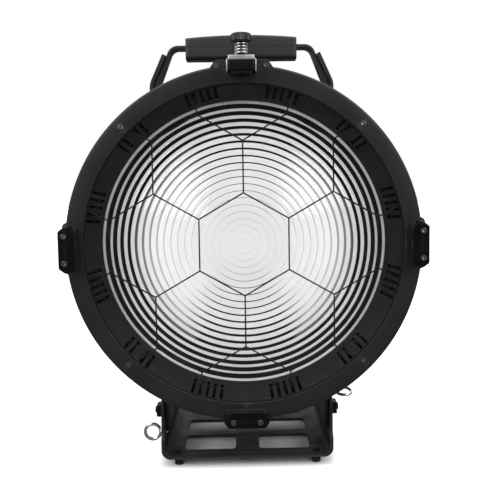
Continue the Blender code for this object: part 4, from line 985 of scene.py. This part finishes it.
def make_grip():
    """Two moulded halves, crowned on top, with a tunnel for the strap, a groove up each face near either end, and a
    parting line between them.
    """
    seam = STRAP_TOP - STRAP_THICK / 2
    half_depth, low = 0.0150, 0.5195
    stations = [-GRIP_HALF + 2 * GRIP_HALF * i / 40 for i in range(41)]
    for name, upper in (("upper", True), ("lower", False)):
        edit = bmesh.new()
        rings = []
        for i, x in enumerate(stations):
            share = x / GRIP_HALF
            crown = 0.5508 - 0.0033 * share * share
            pinch = 1.0 if 0 < i < len(stations) - 1 else 0.94
            top, bottom = (crown, seam + GAP / 2) if upper else (seam - GAP / 2, low)
            depth = half_depth * (1.0 - 0.03 * share * share) * pinch
            if upper:
                shape = [(-depth, bottom), (depth, bottom)] + arc(depth - 0.005, top - 0.005, 0.005, 0, 90, 8) + arc(
                    -depth + 0.005, top - 0.005, 0.005, 90, 180, 8)
            else:
                shape = arc(-depth + 0.005, bottom + 0.005, 0.005, 180, 270, 8) + arc(
                    depth - 0.005, bottom + 0.005, 0.005, 270, 360, 8) + [(depth, top), (-depth, top)]
            rings.append([edit.verts.new(at(x, HANDLE_DEPTH + d, z)) for d, z in shape])
        for a, b in zip(rings, rings[1:]):
            for i in range(len(a)):
                j = (i + 1) % len(a)
                edit.faces.new((a[i], a[j], b[j], b[i]))
        edit.faces.new(rings[0])
        edit.faces.new(rings[-1][::-1])
        bmesh.ops.recalc_face_normals(edit, faces=edit.faces)
        half = finished(edit, f"grip_shell_{name}")
        channel = STRAP_THICK / 2 + GAP
        tunnel = block("grip_tunnel", at(-0.09, HANDLE_DEPTH - STRAP_WIDTH / 2 - GAP, seam - channel),
                       at(0.09, HANDLE_DEPTH + STRAP_WIDTH / 2 + GAP, seam + channel), 0.0)
        grooves = [tunnel]
        for end in (-1, 1):
            for face in (-1, 1):
                edge = HANDLE_DEPTH + face * half_depth
                grooves.append(block(f"grip_groove_{end}_{face}", at(end * 0.0660 - 0.0005, edge - 0.0006, low - 0.01),
                                     at(end * 0.0660 + 0.0005, edge + 0.0006, 0.5600), 0.0))
        half = cut(half, *grooves)
        dress(half, "head", GRIP_PLASTIC, f"grip_{name}")


# The cradle.


def cradle_sheet():
    """The cradle as a flat blank: half its width across, the side plates' slopes, slots and holes."""
    middle_radius = CRADLE_BEND - CRADLE_SHEET / 2
    flat = CRADLE_HALF - CRADLE_BEND
    quarter = middle_radius * math.pi / 2
    rise = flat + quarter

    def up(z):
        """The blank's width where the side plate reaches a height."""
        return rise + z - CRADLE_FLOOR - CRADLE_BEND

    side = [
        (up(0.036), CRADLE_FRONT),
        (up(0.042), CRADLE_FRONT + 0.006),
        (up(PLATE_TOP - 0.012), CRADLE_FRONT + 0.006),
        (up(PLATE_TOP), CRADLE_FRONT + 0.018),
        (up(PLATE_TOP), 0.118),
        (up(PLATE_REAR_TOP), CRADLE_BACK - 0.010),
        (up(PLATE_REAR_TOP - 0.006), CRADLE_BACK),
    ]
    outline = fillet(side + [(-u, d) for u, d in side[::-1]], 0.005, 6)
    loops = [outline]
    for near, far in ((0.046, 0.089), (0.104, 0.142), (0.162, 0.195)):
        for sign in (-1, 1):
            low, high = sorted((sign * 0.0155, sign * 0.0815))
            loops.append(rounded(low, near, high, far, 0.006))
    for side_name, sign in (("left", -1), ("right", 1)):
        loops.append(circle(sign * up(PIVOT_Z), PIVOT_DEPTH, 0.0064, 32))
        angle = EYE_ANGLES[side_name]
        end = 10 if side_name == "left" else 20
        slot = arc_slot(0, 0, EYE_ARC, angle - 20, angle + end, 0.0042)
        loops.append([(sign * (up(PIVOT_Z) + z), PIVOT_DEPTH + y) for y, z in slot])
    for sign in (-1, 1):
        for depth in FOOT_DEPTHS.values():
            loops.append(circle(sign * FOOT_SIDE, depth, 0.0024, 20))
    return loops, flat, middle_radius, quarter


def make_cradle():
    loops, flat, bend, quarter = cradle_sheet()
    sheet = slab("cradle_sheet", loops, CRADLE_SHEET, ALONG_Z, (0, 0, 0), 0.0006)
    edit = bmesh.new()
    edit.from_mesh(sheet.data)
    for i in range(13):
        for sign in (-1, 1):
            everything = edit.verts[:] + edit.edges[:] + edit.faces[:]
            bmesh.ops.bisect_plane(edit, geom=everything, plane_co=(sign * (flat + quarter * i / 12), 0, 0),
                                   plane_no=(1, 0, 0), dist=0.000001)
    middle = CRADLE_FLOOR + CRADLE_SHEET / 2
    for point in edit.verts:
        u, depth, t = point.co
        sign, u = math.copysign(1, u), abs(u)
        if u <= flat:
            x, z = u, middle + t
        elif u <= flat + quarter:
            a = (u - flat) / bend
            x, z = flat + (bend - t) * math.sin(a), middle + bend - (bend - t) * math.cos(a)
        else:
            x, z = flat + bend - t, middle + bend + u - flat - quarter
        point.co = (sign * x, FACE_Y + depth, z)
    edit.to_mesh(sheet.data)
    edit.free()
    dress(sheet, "cradle", FRAME_PAINT, "cradle_frame")


def make_feet():
    profile = [(0.0, 0.0), (0.0050, 0.0), (0.0056, 0.0008), (0.0058, 0.0060), (0.0050, 0.0070), (0.0052, 0.0097),
               (0.0, 0.0097)]
    for end, depth in FOOT_DEPTHS.items():
        for side, sign in (("left", -1), ("right", 1)):
            place = at(sign * FOOT_SIDE, depth, 0)
            dress(lathe(f"foot_pad_{end}_{side}", profile, ALONG_Z, place, SMALL_ROUND, 0.0004), "cradle", RUBBER,
                  f"foot_{end}_{side}")
            socket_screw(f"foot_bolt_{end}_{side}", place + Vector((0, 0, CRADLE_FLOOR + CRADLE_SHEET)), FLIP, 0.0042,
                         0.0022, body="cradle")


def cheek_loop():
    top = AXIS_Z - 0.150
    low = arc(PIVOT_DEPTH, PIVOT_Z, 0.018, 200, 340, 24)
    return low + [(0.118, 0.056), (0.128, 0.076), (0.128, top), (0.030, top), (0.036, 0.080), (0.046, 0.038)]


def make_tilt():
    place = at(0, PIVOT_DEPTH, PIVOT_Z)
    inner = CRADLE_HALF - CRADLE_SHEET
    for side, sign in (("left", -1), ("right", 1)):
        middle = sign * (inner - 0.0005 - 0.0025)
        t = math.radians(EYE_ANGLES[side])
        bolt = (PIVOT_DEPTH + EYE_ARC * math.cos(t), PIVOT_Z + EYE_ARC * math.sin(t))
        loops = [fillet(cheek_loop(), 0.004, 5), circle(PIVOT_DEPTH, PIVOT_Z, 0.0064, 40), circle(*bolt, 0.0038, 32)]
        cheek = slab(f"cheek_plate_{side}", loops, 0.0050, ALONG_X, at(middle, 0, 0), 0.0006)
        cheek = cut(cheek, barrel_cutter(f"cheek_round_{side}", 0.010, 0.160))
        dress(cheek, "head", FRAME_PAINT, f"tilt_cheek_{side}")
        low, high = sorted((sign * (inner - 0.006), sign * (CRADLE_HALF + 0.004)))
        hub = bar(f"hub_pin_{side}", 0.0060, low, high, ALONG_X, place)
        x0, x1 = sorted((sign * (CRADLE_HALF + GAP), sign * (CRADLE_HALF + 0.0115)))
        cap = block(f"hub_cap_{side}", at(x0, PIVOT_DEPTH - 0.008, PIVOT_Z - 0.008),
                    at(x1, PIVOT_DEPTH + 0.008, PIVOT_Z + 0.008), 0.0016)
        hub = join(hub, cap)
        dress(hub, "cradle", GLOSS_BLACK, f"pivot_hub_{side}")
        nut_place = at(sign * (CRADLE_HALF + 0.0113), PIVOT_DEPTH, PIVOT_Z)
        nut_turn = ALONG_X @ FLIP if sign > 0 else ALONG_X
        socket_screw(f"hub_bolt_{side}", nut_place, nut_turn, 0.0046, 0.0022, body="cradle")
        make_eye_bolt(side, sign, at(0, *bolt))


def make_eye_bolt(side, sign, place):
    start, collar = CRADLE_HALF - CRADLE_SHEET - 0.005, CRADLE_HALF + GAP
    ring_radius, thick = 0.0101, 0.0021
    reach = collar + EYE_REACH[side]
    profile = [(0.0, start), (0.0035, start), (0.0035, collar), (0.0062, collar), (0.0062, collar + 0.0022)]
    turns = int((reach - collar - 0.0035) / 0.0010)
    for i in range(turns):
        height = collar + 0.0030 + 0.0010 * i
        profile += [(0.0036, height), (0.0031, height + 0.0005)]
    profile += [(0.0040, reach - 0.0008), (0.0030, reach + 0.0010), (0.0, reach + 0.0010)]
    mirrored = [(radius, sign * height) for radius, height in profile]
    eased = [mirrored[0]] + fillet(mirrored, 0.0003, 2, closed=False)[1:-1] + [mirrored[-1]]
    bolt = lathe(f"eye_shank_{side}", eased, ALONG_X, place, SMALL_ROUND)
    lean = Matrix.Rotation(math.radians(EYE_RING_TILT), 3, "X")
    face = ALONG_Y if side == "left" else lean @ ALONG_Z
    middle = place + Vector((sign * (reach + ring_radius), 0, 0))
    bolt = join(bolt, lathe(f"eye_loop_{side}", circle(ring_radius, 0.0, thick, 20), face, middle, 72))
    dress(bolt, f"eye_{side}", NICKEL, f"eye_bolt_{side}", angle=50.0)


# What stays as it was packed, in finished materials.

KEPT = {
    "guide_rod_left": STEEL,
    "guide_rod_right": STEEL,
    "rod_bracket_left": ALUMINIUM,
    "rod_bracket_right": ALUMINIUM,
    "rear_bulkhead": ALUMINIUM,
    # The carriage plate is white so that the lens shows pale: painted light, standing in for the light seen through the
    # lens.
    "carriage_plate": BOARD,
    "heat_sink": ALUMINIUM,
    "led_board": BOARD,
    "led_emitter": PHOSPHOR,
    "gear_rack": STEEL,
    "focus_pinion": STEEL,
    "focus_bush": STEEL,
    "driver_box": ALUMINIUM,
    "fan_frame": MOULDING,
    "fan_rotor": MOULDING,
    "dimmer_spindle": STEEL,
}


def finish_kept():
    for name, material in KEPT.items():
        coat(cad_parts[name], material, 30.0)


# The studio.

SOFTBOX_SIDE, SOFTBOX_AIM = 0.9, (0, 0, 0.28)
SOFTBOXES = {"left_softbox": ((-1.10, -1.15, 1.00), 13.0), "right_softbox": ((1.10, -1.15, 1.00), 11.0)}
ROOM_LIGHT, SUN_LIGHT, SUN_SPREAD, SUN_LEAN = 0.22, 2.6, 110, -14
WHITE = (1.0, 1.0, 1.0, 1.0)
CAMERA_PLACE, CAMERA_DIP, CAMERA_ROLL, CAMERA_TURN = (0.0, FACE_Y - 0.750, 0.3735), 4.02, 0.9, -0.63
# Where the floor's glow stops: a patch of painted shade under the cradle.
SHADE_PATCH_MIDDLE, SHADE_PATCH_HALF = -0.016, (0.109, 0.105)


def floor_material():
    """A white floor that glows faintly so that it meets the backdrop unseen. The glow stops at the cradle's footprint:
    painted shade under the cradle, and round it painted light that washes out the cradle's shadow.
    """
    n = Nodes("pale_floor_with_painted_shade")
    n.feed("Base Color", n.mix(n.spread(n.noise(2.0), 0.0, 1.0), (0.93, 0.93, 0.93), (0.96, 0.96, 0.96)))
    n.feed("Roughness", n.spread(n.noise(30.0), 0.55, 0.7))
    n.fix("Emission Color", WHITE)
    split = n.add("ShaderNodeSeparateXYZ")
    n.link(n.place, split.inputs["Vector"])
    depth = n.math("ADD", split.outputs["Y"], -SHADE_PATCH_MIDDLE)
    across = n.math("DIVIDE", n.math("ABSOLUTE", split.outputs["X"]), SHADE_PATCH_HALF[0])
    along = n.math("DIVIDE", n.math("ABSOLUTE", depth), SHADE_PATCH_HALF[1])
    # No glow inside the footprint, which is painted shade under the cradle; the glow round it is painted light over the
    # cradle's shadow.
    n.feed("Emission Strength", n.spread(n.math("MAXIMUM", across, along), 0.0, 0.6, 0.95, 1.08))
    return n.material


def make_floor():
    edit = bmesh.new()
    bmesh.ops.create_grid(edit, x_segments=1, y_segments=1, size=6.0)
    floor = finished(edit, "studio_floor", Matrix.Translation((0, 0, -0.0002)))
    floor.data.materials.append(floor_material())
    floor.visible_glossy = False
    floor.visible_diffuse = False


def make_world():
    """A white backdrop that the camera sees, and a dimmer room round the object."""
    world = bpy.data.worlds.new("studio")
    bpy.context.scene.world = world
    world.use_nodes = True
    tree = world.node_tree
    room = tree.nodes["Background"]
    room.inputs["Color"].default_value = WHITE
    room.inputs["Strength"].default_value = ROOM_LIGHT
    backdrop = tree.nodes.new("ShaderNodeBackground")
    backdrop.inputs["Color"].default_value = WHITE
    seen = tree.nodes.new("ShaderNodeLightPath").outputs["Is Camera Ray"]
    blend = tree.nodes.new("ShaderNodeMixShader")
    tree.links.new(seen, blend.inputs["Fac"])
    tree.links.new(room.outputs["Background"], blend.inputs[1])
    tree.links.new(backdrop.outputs["Background"], blend.inputs[2])
    tree.links.new(blend.outputs["Shader"], tree.nodes["World Output"].inputs["Surface"])


def make_lights():
    for name, (place, power) in SOFTBOXES.items():
        light = bpy.data.lights.new(name, "AREA")
        light.shape = "RECTANGLE"
        light.size = light.size_y = SOFTBOX_SIDE
        light.energy = power
        made = link(name, light)
        made.location = place
        made.rotation_euler = (Vector(SOFTBOX_AIM) - Vector(place)).to_track_quat("-Z", "Y").to_euler()
    light = bpy.data.lights.new("overhead", "SUN")
    light.energy = SUN_LIGHT
    light.angle = math.radians(SUN_SPREAD)
    link("overhead", light).rotation_euler = (math.radians(SUN_LEAN), 0.0, 0.0)


def make_camera():
    lens = bpy.data.cameras.new("camera")
    lens.lens = 45.4
    lens.sensor_width = 36.0
    lens.shift_y = -0.07
    camera = link("camera", lens)
    camera.location = CAMERA_PLACE
    camera.rotation_euler = (math.radians(90 - CAMERA_DIP), math.radians(CAMERA_ROLL), math.radians(CAMERA_TURN))
    bpy.context.scene.camera = camera
    bpy.context.scene.view_settings.view_transform = "Standard"


make_camera()
make_floor()
make_world()
make_lights()
make_front_ring()
make_bezel()
make_lens()
make_guard()
for ear_name, ear_angle in (("left", 180), ("right", 0), ("bottom", 270)):
    make_ear(ear_name, ear_angle)
for make in (make_latch, make_barrel, make_rear_cover, make_grille, make_controls, make_optics, make_focus_knob,
             make_handle, make_cradle, make_feet, make_tilt, finish_kept):
    make()
